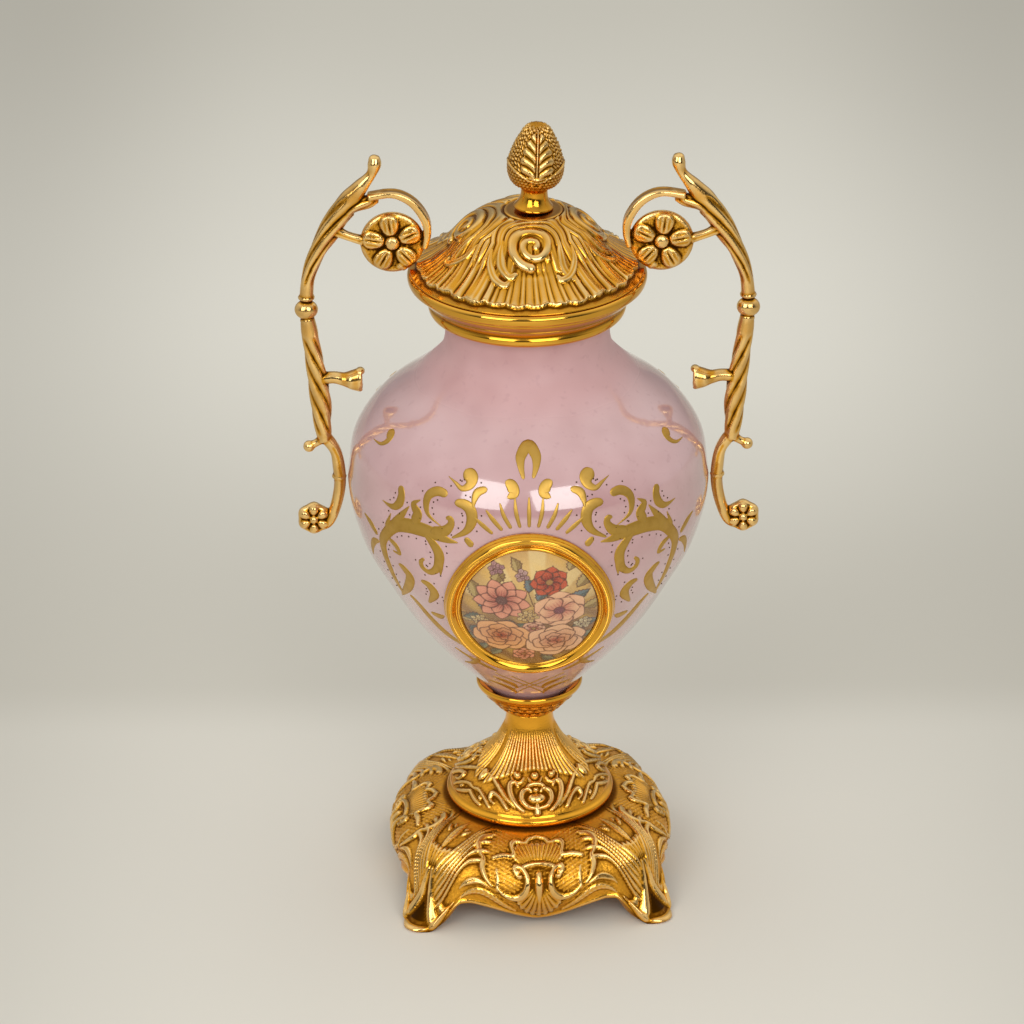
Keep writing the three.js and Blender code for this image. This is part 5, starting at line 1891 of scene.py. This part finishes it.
@dataclass
class Finial:
    """The bud on the lid: a plain waisted neck, a cup of leaves, berries and two veined leaves."""

    outline: Points = ((0, 382.9), (10.2, 382.9, 0.4), (10.2, 383.7, 0.4), (9.0, 385.0), (7.5, 387.4),
        (6.8, 390.2), (6.9, 393.2), (8.0, 394.2, 0.5), (8.4, 395.4, 0.5), (11.8, 397.4), (13.9, 401),
        (14.3, 405.6), (13.9, 409.4), (12.5, 414), (10.4, 419), (7.6, 424), (4.4, 427.4), (2.0, 428.4),
        (0, 428.6))
    lean: float = 3.0
    shift: float = 3.4
    foot: float = 382.9
    columns: int = 270
    rows: int = 146

    def relief(self, azimuth: Array, height: Array, radius: Array) -> Canvas:
        """Lays the cup of leaves, the berries and the front and back leaves.

        Args:
            azimuth: angle from the nearer of the two leaves' axes, in radians.
            height: height of each point.
            radius: radius of the plain form there.

        Returns:
            The canvas, measured in mm from a leaf's axis and from the foot of the bud.
        """
        canvas = Canvas(azimuth * radius, height - 396.0)
        rim = 6.4 + 6.6 * np.abs(np.sin(azimuth)) ** 1.4
        cup = smooth((rim - canvas.along) / 0.4) * smooth((canvas.along + 0.6) / 1.4)
        lip = hump(canvas.along - rim + 0.9, 0.7)
        row = canvas.along / 1.7
        scales = ridged(canvas.across / 2.1 + 0.5 * np.floor(row), 0.8) * ridged(row, 0.8)
        up = (canvas.along - 8.0) / 2.1 + 0.3 * np.sin(azimuth * 9.0)
        place = azimuth / TURN * 38.0 + 0.5 * np.floor(up) + 0.25 * np.sin(up * 5.0)
        berry = (ridged(place) * ridged(up)) ** 0.8 * (0.75 + 0.35 * np.sin(azimuth * 31.0 + up * 7.0))
        bud = smooth((canvas.along - rim) / 0.5) * smooth((32.5 - canvas.along) / 2.0)
        canvas.height = np.maximum(cup * (0.55 + 0.4 * scales + 0.55 * lip), bud * 0.95 * berry)
        canvas.polish = np.clip(cup * (0.25 + 0.75 * lip) + bud * 0.5 * berry, 0.0, 1.0)
        out = np.abs(canvas.across)
        lobes = ridged((canvas.along - 1.3 * out + 0.09 * out**2) / 4.6, 0.6)
        share = np.clip((canvas.along - 6.5) / 24.0, 0.0, 1.0)
        leaf = 8.8 * np.sin(math.pi * share**0.62) ** 0.7 * (0.8 + 0.24 * lobes)
        on_leaf = smooth((leaf - out) / 0.5)
        form = on_leaf * (0.3 + 1.1 * lobes * smooth(out / 0.9 - 0.5))
        form = np.maximum(form, 1.3 * hump(canvas.across, 0.5) * on_leaf)
        canvas.height = np.where(on_leaf > 0.5, form, canvas.height)
        canvas.polish = np.where(on_leaf > 0.5, 0.7, canvas.polish)
        canvas.strand([(-3.4, 8.0, 0.8), (0, 7.2, 1.1), (3.4, 8.0, 0.8)], 1.5, mirrored=False, polish=0.9)
        canvas.strand([(0, 0.4, 0.5), (-1.8, 3.2, 1.0), (-3.0, 6.2, 0.8)], 1.0)
        canvas.height *= smooth((canvas.along + 0.8) / 1.2)
        neck = 1.0 - smooth((canvas.along + 0.5) / 0.8)
        canvas.polish = np.maximum(canvas.polish, neck)
        return canvas

    def build(self, material: Material) -> Object:
        """Turns the bud, lays its relief, then leans it to the right about its foot.

        The bud is drawn in by the mean height of its relief, and lifted by the drop of the right
        side of its foot.

        Args:
            material: its finish.

        Returns:
            The piece.
        """
        line = Outline(softened(self.outline))
        azimuth, lean = azimuths(self.columns), self.lean * DEGREE
        bud = np.linspace(10.0, line.length - 1.2, self.rows - 3)
        reach = np.concatenate([[5.0, 9.6], bud, [line.length - 0.5]])
        radius, height = line.at(reach)
        local = folded(azimuth, 2.0, 2)[None, :]
        canvas = self.relief(*np.broadcast_arrays(local, height[:, None], radius[:, None]))
        canvas.stipple(0.05, 41)
        inward = 0.45 * smooth(canvas.along / 5.0) * smooth((32.0 - canvas.along) / 8.0)
        points = line.turned(reach, azimuth, canvas.height - inward)
        x, z = points[..., 0].copy(), np.maximum(points[..., 2] - self.foot, 0.0)
        lift = 10.3 * math.sin(lean)
        points[..., 0] = x * math.cos(lean) + z * math.sin(lean) + self.shift
        points[..., 2] = z * math.cos(lean) - x * math.sin(lean) + self.foot + lift
        skin = wrapped(points, {"hollow": hollows(canvas.height, 0.26), "polish": canvas.polish})
        return skin.build("Finial", material, Slot.CAST.value, ["finial"])


# ---- handles -------------------------------------------------------------------------------


def fused(skins: Sequence[Skin], voxel: float) -> tuple[Array, Array, Array]:
    """Melts overlapping skins into one closed skin.

    Blender's voxel remesh rebuilds their union as squares of one size.

    Args:
        skins: closed skins in mm.
        voxel: size of a square in mm.

    Returns:
        Points, squares and the pairs of points that share an edge.
    """
    mesh = joined(skins).mesh("Melt")
    piece = placed("Melt", mesh)
    remesh = piece.modifiers.new("Remesh", "REMESH")
    remesh.mode, remesh.voxel_size, remesh.adaptivity = "VOXEL", voxel, 0.0
    melted = bpy.data.meshes.new_from_object(piece.evaluated_get(bpy.context.evaluated_depsgraph_get()))
    points = np.zeros(len(melted.vertices) * 3)
    melted.vertices.foreach_get("co", points)
    corners = np.zeros(len(melted.loops), int)
    melted.loops.foreach_get("vertex_index", corners)
    edges = np.zeros(len(melted.edges) * 2, int)
    melted.edges.foreach_get("vertices", edges)
    bpy.data.meshes.remove(melted)
    bpy.data.objects.remove(piece)
    bpy.data.meshes.remove(mesh)
    return points.reshape(-1, 3), corners.reshape(-1, 4), edges.reshape(-1, 2)


def gathered(owners: Array, values: Array, count: int) -> Array:
    """Returns the sum of the rows of three values that belong to each of a number of owners."""
    return np.stack([np.bincount(owners, values[:, axis], count) for axis in range(3)], axis=-1)


def relaxed(points: Array, edges: Array, passes: int, share: float = 0.5) -> Array:
    """Moves each point a share of the way to the mean of its neighbours, several times.

    Args:
        points: rows of X, Y and Z.
        edges: pairs of points that share an edge.
        passes: how often the points are moved.
        share: part of the way, from 0 to 1.

    Returns:
        The moved points.
    """
    ends, others = edges.ravel(order="F"), edges[:, ::-1].ravel(order="F")
    neighbours = np.maximum(np.bincount(ends, minlength=len(points)), 1)[:, None]
    soft = points
    for _ in range(passes):
        soft = mix(soft, gathered(ends, soft[others], len(points)) / neighbours, share)
    return soft


def square_normals(points: Array, squares: Array) -> Array:
    """Returns unit normals at the points of a skin of squares, as the mean over its squares.

    Args:
        points: rows of X, Y and Z.
        squares: four points of each square.

    Returns:
        Unit normals.
    """
    corner = points[squares]
    normal = np.cross(corner[:, 2] - corner[:, 0], corner[:, 3] - corner[:, 1])
    return unit(gathered(squares.ravel(), np.repeat(normal, 4, axis=0), len(points)))


@dataclass
class Rod:
    """A bar swept along a flowing line in the plane of a handle.

    Attributes:
        stations: rows of x, z and half width.
        depth: half its size from front to back, at most.
        strands: number of twisted strands carved along it, none if 0.
        twist: turns that the strands make for each mm.
        carve: depth of the grooves between them.
        window: where the carving starts and ends, as shares of the length.
        edged: whether it is a strap with raised edges.
        mouth: depth of the hollow in its far end.
        pitch: mm between its sections.
    """

    stations: Points
    depth: float = 4.0
    strands: int = 0
    twist: float = 0.0
    carve: float = 0.55
    window: tuple[float, float] = (0.0, 1.0)
    edged: bool = False
    mouth: float = 0.0
    pitch: float = 0.45
    columns: int = 56

    def skin(self) -> Skin:
        """Builds the bar.

        Its section is an oval: a cosine across the plane and a sine from front to back. The
        grooves are the sine of the angle times the number of strands, turned along the bar.

        Returns:
            The closed skin.
        """
        path = flowing(self.stations, 24 * len(self.stations))
        reach = measured(path[:, :2])
        run = np.linspace(0.0, reach[-1], max(int(reach[-1] / self.pitch), 8))
        x, z, half = [np.interp(run, reach, column) for column in path.T]
        tangent = unit(np.column_stack([np.gradient(x), np.gradient(z)]))
        arc = np.linspace(1.0, 0.1, 6) * math.pi / 2.0
        lip, waist = 0.55 * half[-1] * np.sin(arc[::-1]), np.cos(arc[::-1])
        if self.mouth:
            lip = self.mouth * np.array([0.7, 1.3, 1.7, 1.3, 0.2, -0.4])
            waist = np.array([1.0, 0.96, 0.86, 0.7, 0.5, 0.25])
        number = np.concatenate([np.zeros(6, int), np.arange(len(run)), np.full(6, len(run) - 1)])
        slide = np.concatenate([-0.55 * half[0] * np.sin(arc), np.zeros(len(run)), lip])[:, None]
        scale = np.concatenate([np.cos(arc), np.ones(len(run)), waist])[:, None]
        x, z, half, run = [values[number][:, None] for values in (x, z, half, run)]
        tangent = tangent[number]
        angle = azimuths(self.columns)[None, :]
        cos, sin = np.cos(angle), np.sin(angle)
        power, deep = 0.9, np.minimum(self.depth, 1.1 * half)
        if self.edged:
            power, deep = 0.6, np.full_like(half, self.depth)
        across = half * np.sign(cos) * np.abs(cos) ** power
        out = deep * np.sign(sin) * np.abs(sin) ** power
        share = run / run.max()
        inside = smooth((share - self.window[0]) / 0.08) * smooth((self.window[1] - share) / 0.08)
        relief = np.zeros(across.shape)
        if self.strands:
            groove = 1.0 - ridged(self.strands * (angle / TURN + self.twist * run), 0.8)
            relief -= self.carve * groove * inside
        if self.edged:
            relief -= 0.5 * smooth((0.55 - np.abs(sin)) / 0.25) * inside
        factor = (1.0 + relief / np.maximum(np.hypot(across, out), 0.1)) * scale
        across, out = across * factor, out * factor
        x, z = x + tangent[:, :1] * slide, z + tangent[:, 1:] * slide
        return wrapped(np.stack([x + tangent[:, 1:] * across, out, z - tangent[:, :1] * across], axis=-1))


@dataclass
class Flower:
    """A round flower that faces front and back: domed petals on a stippled ground round a boss.

    Attributes:
        centre: its middle's X and Z.
        turn: direction of the first petal, in degrees from +X.
        thickness: half its depth from front to back, at the ground.
        cup: half width of a petal.
        boss: radius of the boss.
        lobes: number of lobes of its edge, none if 0.
        dome_rise: height of a petal's dome.
        deepest: greatest half depth from front to back.
    """

    centre: tuple[float, float]
    radius: float
    petals: int
    turn: float
    thickness: float
    cup: float
    boss: float
    lobes: int = 0
    dome_rise: float = 1.5
    deepest: float = 5.2
    columns: int = 220
    rings: int = 58

    def face(self, angle: Array, radius: Array, seed: int) -> Array:
        """Returns the height of one face over the middle plane.

        A petal is a dome with a rim, a crease down its middle and a finer one at each side.

        Args:
            angle: direction from the centre, in radians.
            radius: distance from the centre.
            seed: of the stippling.

        Returns:
            Heights in mm, before the edge falls away.
        """
        x, z = radius * np.cos(angle), radius * np.sin(angle)
        ground = self.thickness + 0.1 * np.random.default_rng(seed).normal(size=x.shape)
        height = ground - 0.25
        reach = 0.59 * self.radius
        for number in range(self.petals):
            heading = (self.turn + 360.0 * number / self.petals) * DEGREE
            cos, sin = math.cos(heading), math.sin(heading)
            dx, dz = x - reach * cos, z - reach * sin
            out, side = dx * cos + dz * sin, dz * cos - dx * sin
            width = 0.82 + 0.16 * np.clip(out / self.cup, -1, 1)
            share = np.hypot(out / 1.02, side / width) / self.cup
            crease = 0.75 * hump(side / self.cup, 0.1) + 0.35 * hump(np.abs(side / self.cup) - 0.42, 0.08)
            rise = self.dome_rise * dome(share) - crease * smooth(1.6 - 1.6 * share)
            petal = self.thickness + np.maximum(0.9 * hump(share - 0.88, 0.1), rise)
            height = np.where(share < 1.02, np.maximum(height, petal), height)
        share = radius / self.boss
        height = np.where(share < 1.25, np.minimum(height, self.thickness - 0.3), height)
        return np.where(share < 1.0, self.thickness + 0.2 + 1.7 * dome(share), height)

    def skin(self) -> Skin:
        """Builds both faces, which fall away at the edge by a quarter circle."""
        angle = azimuths(self.columns)[None, :]
        share = np.linspace(0.012, 1.0, self.rings)[:, None]
        wave = 0.045 * np.cos(self.lobes * (angle - self.turn * DEGREE)) if self.lobes else 0.0 * angle
        radius = share * (self.radius * (1.0 + wave))
        fall = dome(np.clip((share - 0.86) / 0.14, 0.0, 1.0))
        front = self.face(angle + 0.0 * radius, radius, 3) * fall
        back = self.face(math.pi - angle + 0.0 * radius, radius, 5) * fall
        x, z = self.centre[0] + radius * np.cos(angle), self.centre[1] + radius * np.sin(angle)
        rear = np.stack([x, np.minimum(back, self.deepest), z], axis=-1)
        fore = np.stack([x, -np.minimum(front, self.deepest), z], axis=-1)[::-1]
        return wrapped(np.concatenate([rear, fore[1:]]))


def ball(centre: tuple[float, float], radius: float, stretch: Sequence[float] = (1.0, 1.0, 1.0)) -> Skin:
    """Returns a ball in a handle's plane, drawn out along X, Y and Z.

    Args:
        centre: its middle's X and Z.
        radius: mm.
        stretch: factors along X, Y and Z.

    Returns:
        The closed skin.
    """
    rise = np.linspace(-0.98, 0.98, 30)[:, None] * math.pi / 2.0
    sphere = around(np.cos(rise), azimuths(48), np.sin(rise))
    return wrapped(sphere * radius * np.asarray(stretch) + [centre[0], 0.0, centre[1]])


@dataclass
class Handle:
    """One scroll handle: arm, horn, curling strap, flower disc, knuckle, bud, stem and rosette."""

    arm: Points = ((-77, 410.4, 2.8), (-77, 407, 3.5), (-79, 401.3, 2.6), (-85, 394, 4.1),
        (-91.5, 385.5, 5.9), (-98.5, 375, 5.8), (-104, 365.5, 4.9), (-109, 354.5, 4.2), (-112, 345, 3.5),
        (-113.2, 334, 3.6))
    leaf: Points = ((-97, 378, 3.0), (-88, 384.6, 3.6), (-80, 386.8, 3.4), (-76.4, 388, 2.2))
    strap: Points = ((-80, 389.6, 2.0), (-70, 391.2, 1.9), (-63, 389.6, 2.2), (-56.6, 384.8, 2.4),
        (-51.8, 377, 2.5), (-50.6, 369.6, 2.2), (-52, 362, 1.6))
    bridge: Points = ((-98, 371.5, 3.3), (-92, 368.2, 2.4), (-84, 365.5, 2.6))
    foot: Points = ((-65, 352.6, 3.0), (-62.4, 350.6, 2.2))
    lower_arm: Points = ((-112.9, 322, 3.6), (-112.2, 316, 4.3), (-110.8, 305, 4.6), (-109, 292, 5.2),
        (-107.2, 276, 5.6), (-106.4, 262, 4.7), (-105.6, 254, 3.6))
    stem: Points = ((-106, 256, 3.2), (-100.4, 247.6, 3.2), (-98.6, 237.6, 3.5), (-98.3, 227, 3.2),
        (-100.6, 215.5, 3.0), (-104.6, 206, 2.8), (-110.5, 202.4, 2.0))
    bud: Points = ((-106, 288.4, 3.2), (-100, 288.8, 3.1), (-95, 287.8, 3.5), (-90.4, 287.4, 5.2),
        (-87, 287.4, 6.3))
    tail: Points = ((-106.5, 254, 2.6), (-110, 251.6, 2.0), (-113, 250, 2.2))
    folds: Sequence[Points] = (
        ((-108, 352, 0.5), (-103.4, 360, 1.5), (-99, 366, 1.7), (-94, 370.5, 0.5)),
        ((-104.6, 358, 0.5), (-99.6, 367, 1.6), (-94.6, 374.5, 1.9), (-88, 379.8, 0.5)),
        ((-101.5, 366, 0.5), (-96, 376, 1.6), (-90, 383.4, 1.9), (-82, 388.2, 0.6)),
        ((-110.8, 300, 0.5), (-108.2, 291, 1.5), (-104.8, 283, 1.6), (-103.2, 276, 0.5)),
        ((-110, 288, 0.5), (-107.4, 279, 1.6), (-103.8, 270, 1.6), (-103.4, 263, 0.5)),
        ((-109.6, 276, 0.5), (-107.6, 267, 1.5), (-104.6, 259.4, 1.3), (-103.8, 254, 0.4)))
    disc: tuple[float, float] = (-68.6, 364.5)
    half_depth: float = 5.25
    voxel: float = 0.52

    def parts(self) -> list[Skin]:
        """Returns the overlapping parts of the left handle."""
        rods = (
            Rod(self.arm, strands=6, twist=-0.006, carve=1.0, window=(0.28, 0.93)),
            Rod(self.leaf, strands=6, twist=0.01, carve=0.8),
            Rod(self.strap, depth=3.7, edged=True, window=(0.1, 1.0)),
            Rod(self.bridge, strands=4, carve=0.6),
            Rod(self.foot, depth=3.0),
            Rod(self.lower_arm, strands=5, twist=0.012, carve=1.0, window=(0.12, 0.97)),
            Rod(self.stem, strands=4, carve=0.5, twist=0.002, window=(0.08, 0.8)),
            Rod(self.bud, depth=5.1, mouth=1.0),
            Rod(self.tail))
        folds = [Rod(line, depth=4.9) for line in self.folds]
        balls = [
            ball((-113.2, 334.0), 4.0, (1.1, 1.1, 0.5)),
            ball((-113.4, 327.2), 6.1, (1.0, 0.84, 0.86)),
            ball((-112.9, 321.2), 4.0, (1.0, 1.0, 0.4)),
            ball((-113.8, 249.6), 3.1),
            ball((-77.2, 409.4), 2.9),
            ball((-98.5, 232.4), 3.9, (1.0, 1.0, 0.5)),
            ball((-86.4, 292.4), 2.4, (1.0, 1.4, 0.8))]
        discs = [
            Flower(self.disc, 16.5, 5, 98.0, 2.3, 5.6, 3.6),
            Flower((-112.2, 208.2), 8.6, 6, 90.0, 2.6, 2.5, 2.2, lobes=6, columns=140, rings=34)]
        return [rod.skin() for rod in (*rods, *folds)] + balls + [disc.skin() for disc in discs]

    def skin(self) -> Skin:
        """Melts the parts together and measures their hollows.

        A hollow is where the softened skin lies outside the skin itself.

        Returns:
            The left handle.
        """
        points, squares, edges = fused(self.parts(), self.voxel)
        points = relaxed(points, edges, 1, 0.4)
        normal = square_normals(points, squares)
        fine = np.sum((relaxed(points, edges, 8) - points) * normal, axis=1)
        broad = np.sum((relaxed(points, edges, 40) - points) * normal, axis=1)
        hollow = np.clip(0.58 + 3.4 * fine + 0.8 * broad, 0.0, 1.0)
        from_disc = np.hypot(points[:, 0] - self.disc[0], points[:, 2] - self.disc[1])
        polish = mix(0.95, 0.6, smooth((18.0 - from_disc) / 2.0)) - 0.5 * smooth((hollow - 0.5) * 3.0)
        points[:, 1] = np.clip(points[:, 1], -self.half_depth, self.half_depth)
        return Skin(points, [squares], {"hollow": hollow, "polish": polish})

    def build(self, material: Material) -> list[Object]:
        """Builds the left handle and its mirror image.

        Args:
            material: their finish.

        Returns:
            Both pieces.
        """
        left = self.skin()
        return [left.build("HandleLeft", material, Slot.CAST.value, ["handle_left"]),
            left.mirrored().build("HandleRight", material, Slot.CAST.value, ["handle_right"])]


# ---- studio --------------------------------------------------------------------------------


def towards(azimuth: float, elevation: float) -> Vector:
    """Returns the unit vector from the urn to a place given in degrees round and up."""
    a, e = azimuth * DEGREE, elevation * DEGREE
    return Vector((math.sin(a) * math.cos(e), -math.cos(a) * math.cos(e), math.sin(e)))


@dataclass(frozen=True)
class Softbox:
    """A rectangular lamp, placed by degrees round and up from the urn and metres away."""

    name: str
    azimuth: float
    elevation: float
    distance: float
    width: float
    height: float
    power: float
    colour: tuple[float, float, float] = (1.0, 0.99, 0.97)

    def hang(self, aim: Vector) -> None:
        """Hangs the lamp on a sphere round the point it faces.

        Args:
            aim: point that it faces, in metres.
        """
        data = bpy.data.lights.new(self.name, "AREA")
        data.shape, data.size, data.size_y = "RECTANGLE", self.width, self.height
        data.energy, data.color = self.power, self.colour
        away = towards(self.azimuth, self.elevation)
        holder = placed(self.name, data)
        holder.location = aim + away * self.distance
        holder.rotation_euler = away.to_track_quat("Z", "Y").to_euler()


@dataclass
class Studio:
    """Camera, lamps, room light and a pale floor with painted shade and light.

    Attributes:
        camera_place: metres.
        camera_pitch: degrees down from level.
        camera_roll: degrees.
        aim: point that the lamps face.
        glows: lobes of the room's light; azimuth and elevation, the cosines of the angle from
            them where a lobe starts and is full, and its strength.
        dimness: strength of the light elsewhere.
    """

    camera_place: tuple[float, float, float] = (-0.0086, -2.3553, 1.365)
    camera_pitch: float = 26.11
    camera_roll: float = -0.4
    lens: float = 176.25
    aim: tuple[float, float, float] = (0.0, 0.0, 0.25)
    lamps: Sequence[Softbox] = (
        Softbox("WindowLeft", -29.0, 27.0, 2.6, 1.3, 1.75, 21.5),
        Softbox("WindowRight", 19.0, 24.5, 2.6, 1.35, 1.5, 22.0))
    glows: Sequence[tuple[float, float, float, float, float]] = ((0.0, 88.0, 0.3, 0.98, 0.5),
        (-100.0, 18.0, 0.55, 1.0, 0.5), (104.0, 18.0, 0.55, 1.0, 0.5), (180.0, 40.0, 0.3, 1.0, 0.3),
        (-10.0, 62.0, 0.5, 1.0, 0.2))
    dimness: float = 0.06

    def light(self) -> None:
        """Hangs the lamps and fills in the room light.

        The room is darker near the horizon than overhead, so that metal shows depth.
        """
        for lamp in self.lamps:
            lamp.hang(Vector(self.aim))
        world = bpy.data.worlds.new("Room")
        bpy.context.scene.world = world
        world.use_nodes = True
        nodes = Nodes(world.node_tree)
        direction = nodes.add("ShaderNodeTexCoord").outputs["Generated"]
        level = self.dimness
        for azimuth, elevation, start, stop, strength in self.glows:
            inputs = {0: direction, 1: towards(azimuth, elevation)}
            facing = nodes.add("ShaderNodeVectorMath", inputs, operation="DOT_PRODUCT").outputs["Value"]
            level = nodes.maths("ADD", level, nodes.scaled(facing, 0.0, strength, start, stop))
        background = world.node_tree.nodes["Background"]
        nodes.feed(background, {"Color": rgb(1.0, 0.985, 0.95), "Strength": level})

    def floor(self, side: float = 6.0) -> Object:
        """Lays the floor and returns it.

        Behind the urn it has a band of painted shade that turns into painted light further back, as
        where a floor meets a lit wall, and a painted falloff of light darkens it at the sides and far back.

        Args:
            side: half its width, in metres.

        Returns:
            The floor.
        """
        mesh = bpy.data.meshes.new("Floor")
        corners = [(-side, -side, 0), (side, -side, 0), (side, side, 0), (-side, side, 0)]
        mesh.from_pydata(corners, [], [(0, 1, 2, 3)])
        material, nodes = new_material("PaleFloor")
        place = nodes.place()
        grain = nodes.scaled(nodes.noise(place, 3.0, 3.0, 0.5), 0.0, 0.03, 0.3, 0.7)
        far = nodes.add("ShaderNodeSeparateXYZ", {0: place}).outputs
        # Painted shade just behind the urn, painted light further back, and a painted falloff of light that
        # darkens the far back and the sides.
        side_falloff = nodes.scaled(nodes.maths("ABSOLUTE", far["X"]), 0.0, 1.0, 0.15, 0.39)
        spans = ((0.14, 0.21), (0.2, 0.75), (0.75, 1.4))
        wall, lift, top = [nodes.scaled(far["Y"], 0.0, 1.0, start, stop) for start, stop in spans]
        colour = nodes.blend(wall, rgb(0.75, 0.73, 0.66), rgb(0.66, 0.64, 0.57))
        colour = nodes.blend(lift, colour, nodes.blend(wall, colour, rgb(0.88, 0.865, 0.79)))
        colour = nodes.blend(nodes.maths("MULTIPLY", top, 0.5), colour, rgb(0.54, 0.52, 0.45))
        colour = nodes.blend(nodes.maths("MULTIPLY", side_falloff, 0.4), colour, rgb(0.36, 0.345, 0.3))
        colour = nodes.blend(grain, colour, rgb(0.5, 0.46, 0.4))
        nodes.surface({"Base Color": colour, "Roughness": 0.75, "Specular IOR Level": 0.2})
        mesh.materials.append(material)
        floor = placed("Floor", mesh)
        return floor

    def camera(self) -> Object:
        """Sets up the camera and returns it."""
        data = bpy.data.cameras.new("Camera")
        data.lens, data.sensor_width = self.lens, 36.0
        data.clip_start, data.clip_end = 0.05, 40.0
        holder = placed("Camera", data)
        holder.location = self.camera_place
        pitch = Matrix.Rotation((90.0 - self.camera_pitch) * DEGREE, 3, "X")
        roll = Matrix.Rotation(self.camera_roll * DEGREE, 3, "Z")
        holder.rotation_mode = "QUATERNION"
        holder.rotation_quaternion = (pitch @ roll).to_quaternion()
        bpy.context.scene.camera = holder
        return holder


def main() -> None:
    """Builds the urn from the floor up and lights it."""
    logging.basicConfig(level=logging.INFO, format="%(message)s")
    bpy.context.scene.view_settings.view_transform = "Standard"
    studio = Studio()
    studio.camera()
    studio.light()
    studio.floor()
    cast, polished = CAST_BRASS.material(), POLISHED_BRASS.material()
    dark = HANDLE_BRASS.material()
    vessel = Vessel()
    medallion = Medallion(vessel)
    pieces = [BaseCasting().build(cast), PedestalCasting().build(cast), Cup().build(polished),
        vessel.build(Glaze().material()), *Gilding(vessel).build(GILDING.material(),
        OUTLINE_ENAMEL.material()), medallion.build_frame(polished),
        medallion.build_plaque(PaintedPlaque().material()), Collar().build(polished),
        Lid().build(LID_BRASS.material()), Finial().build(dark), *Handle().build(dark)]
    LOG.info("built %d pieces", len(pieces))


if __name__ == "__main__":
    main()
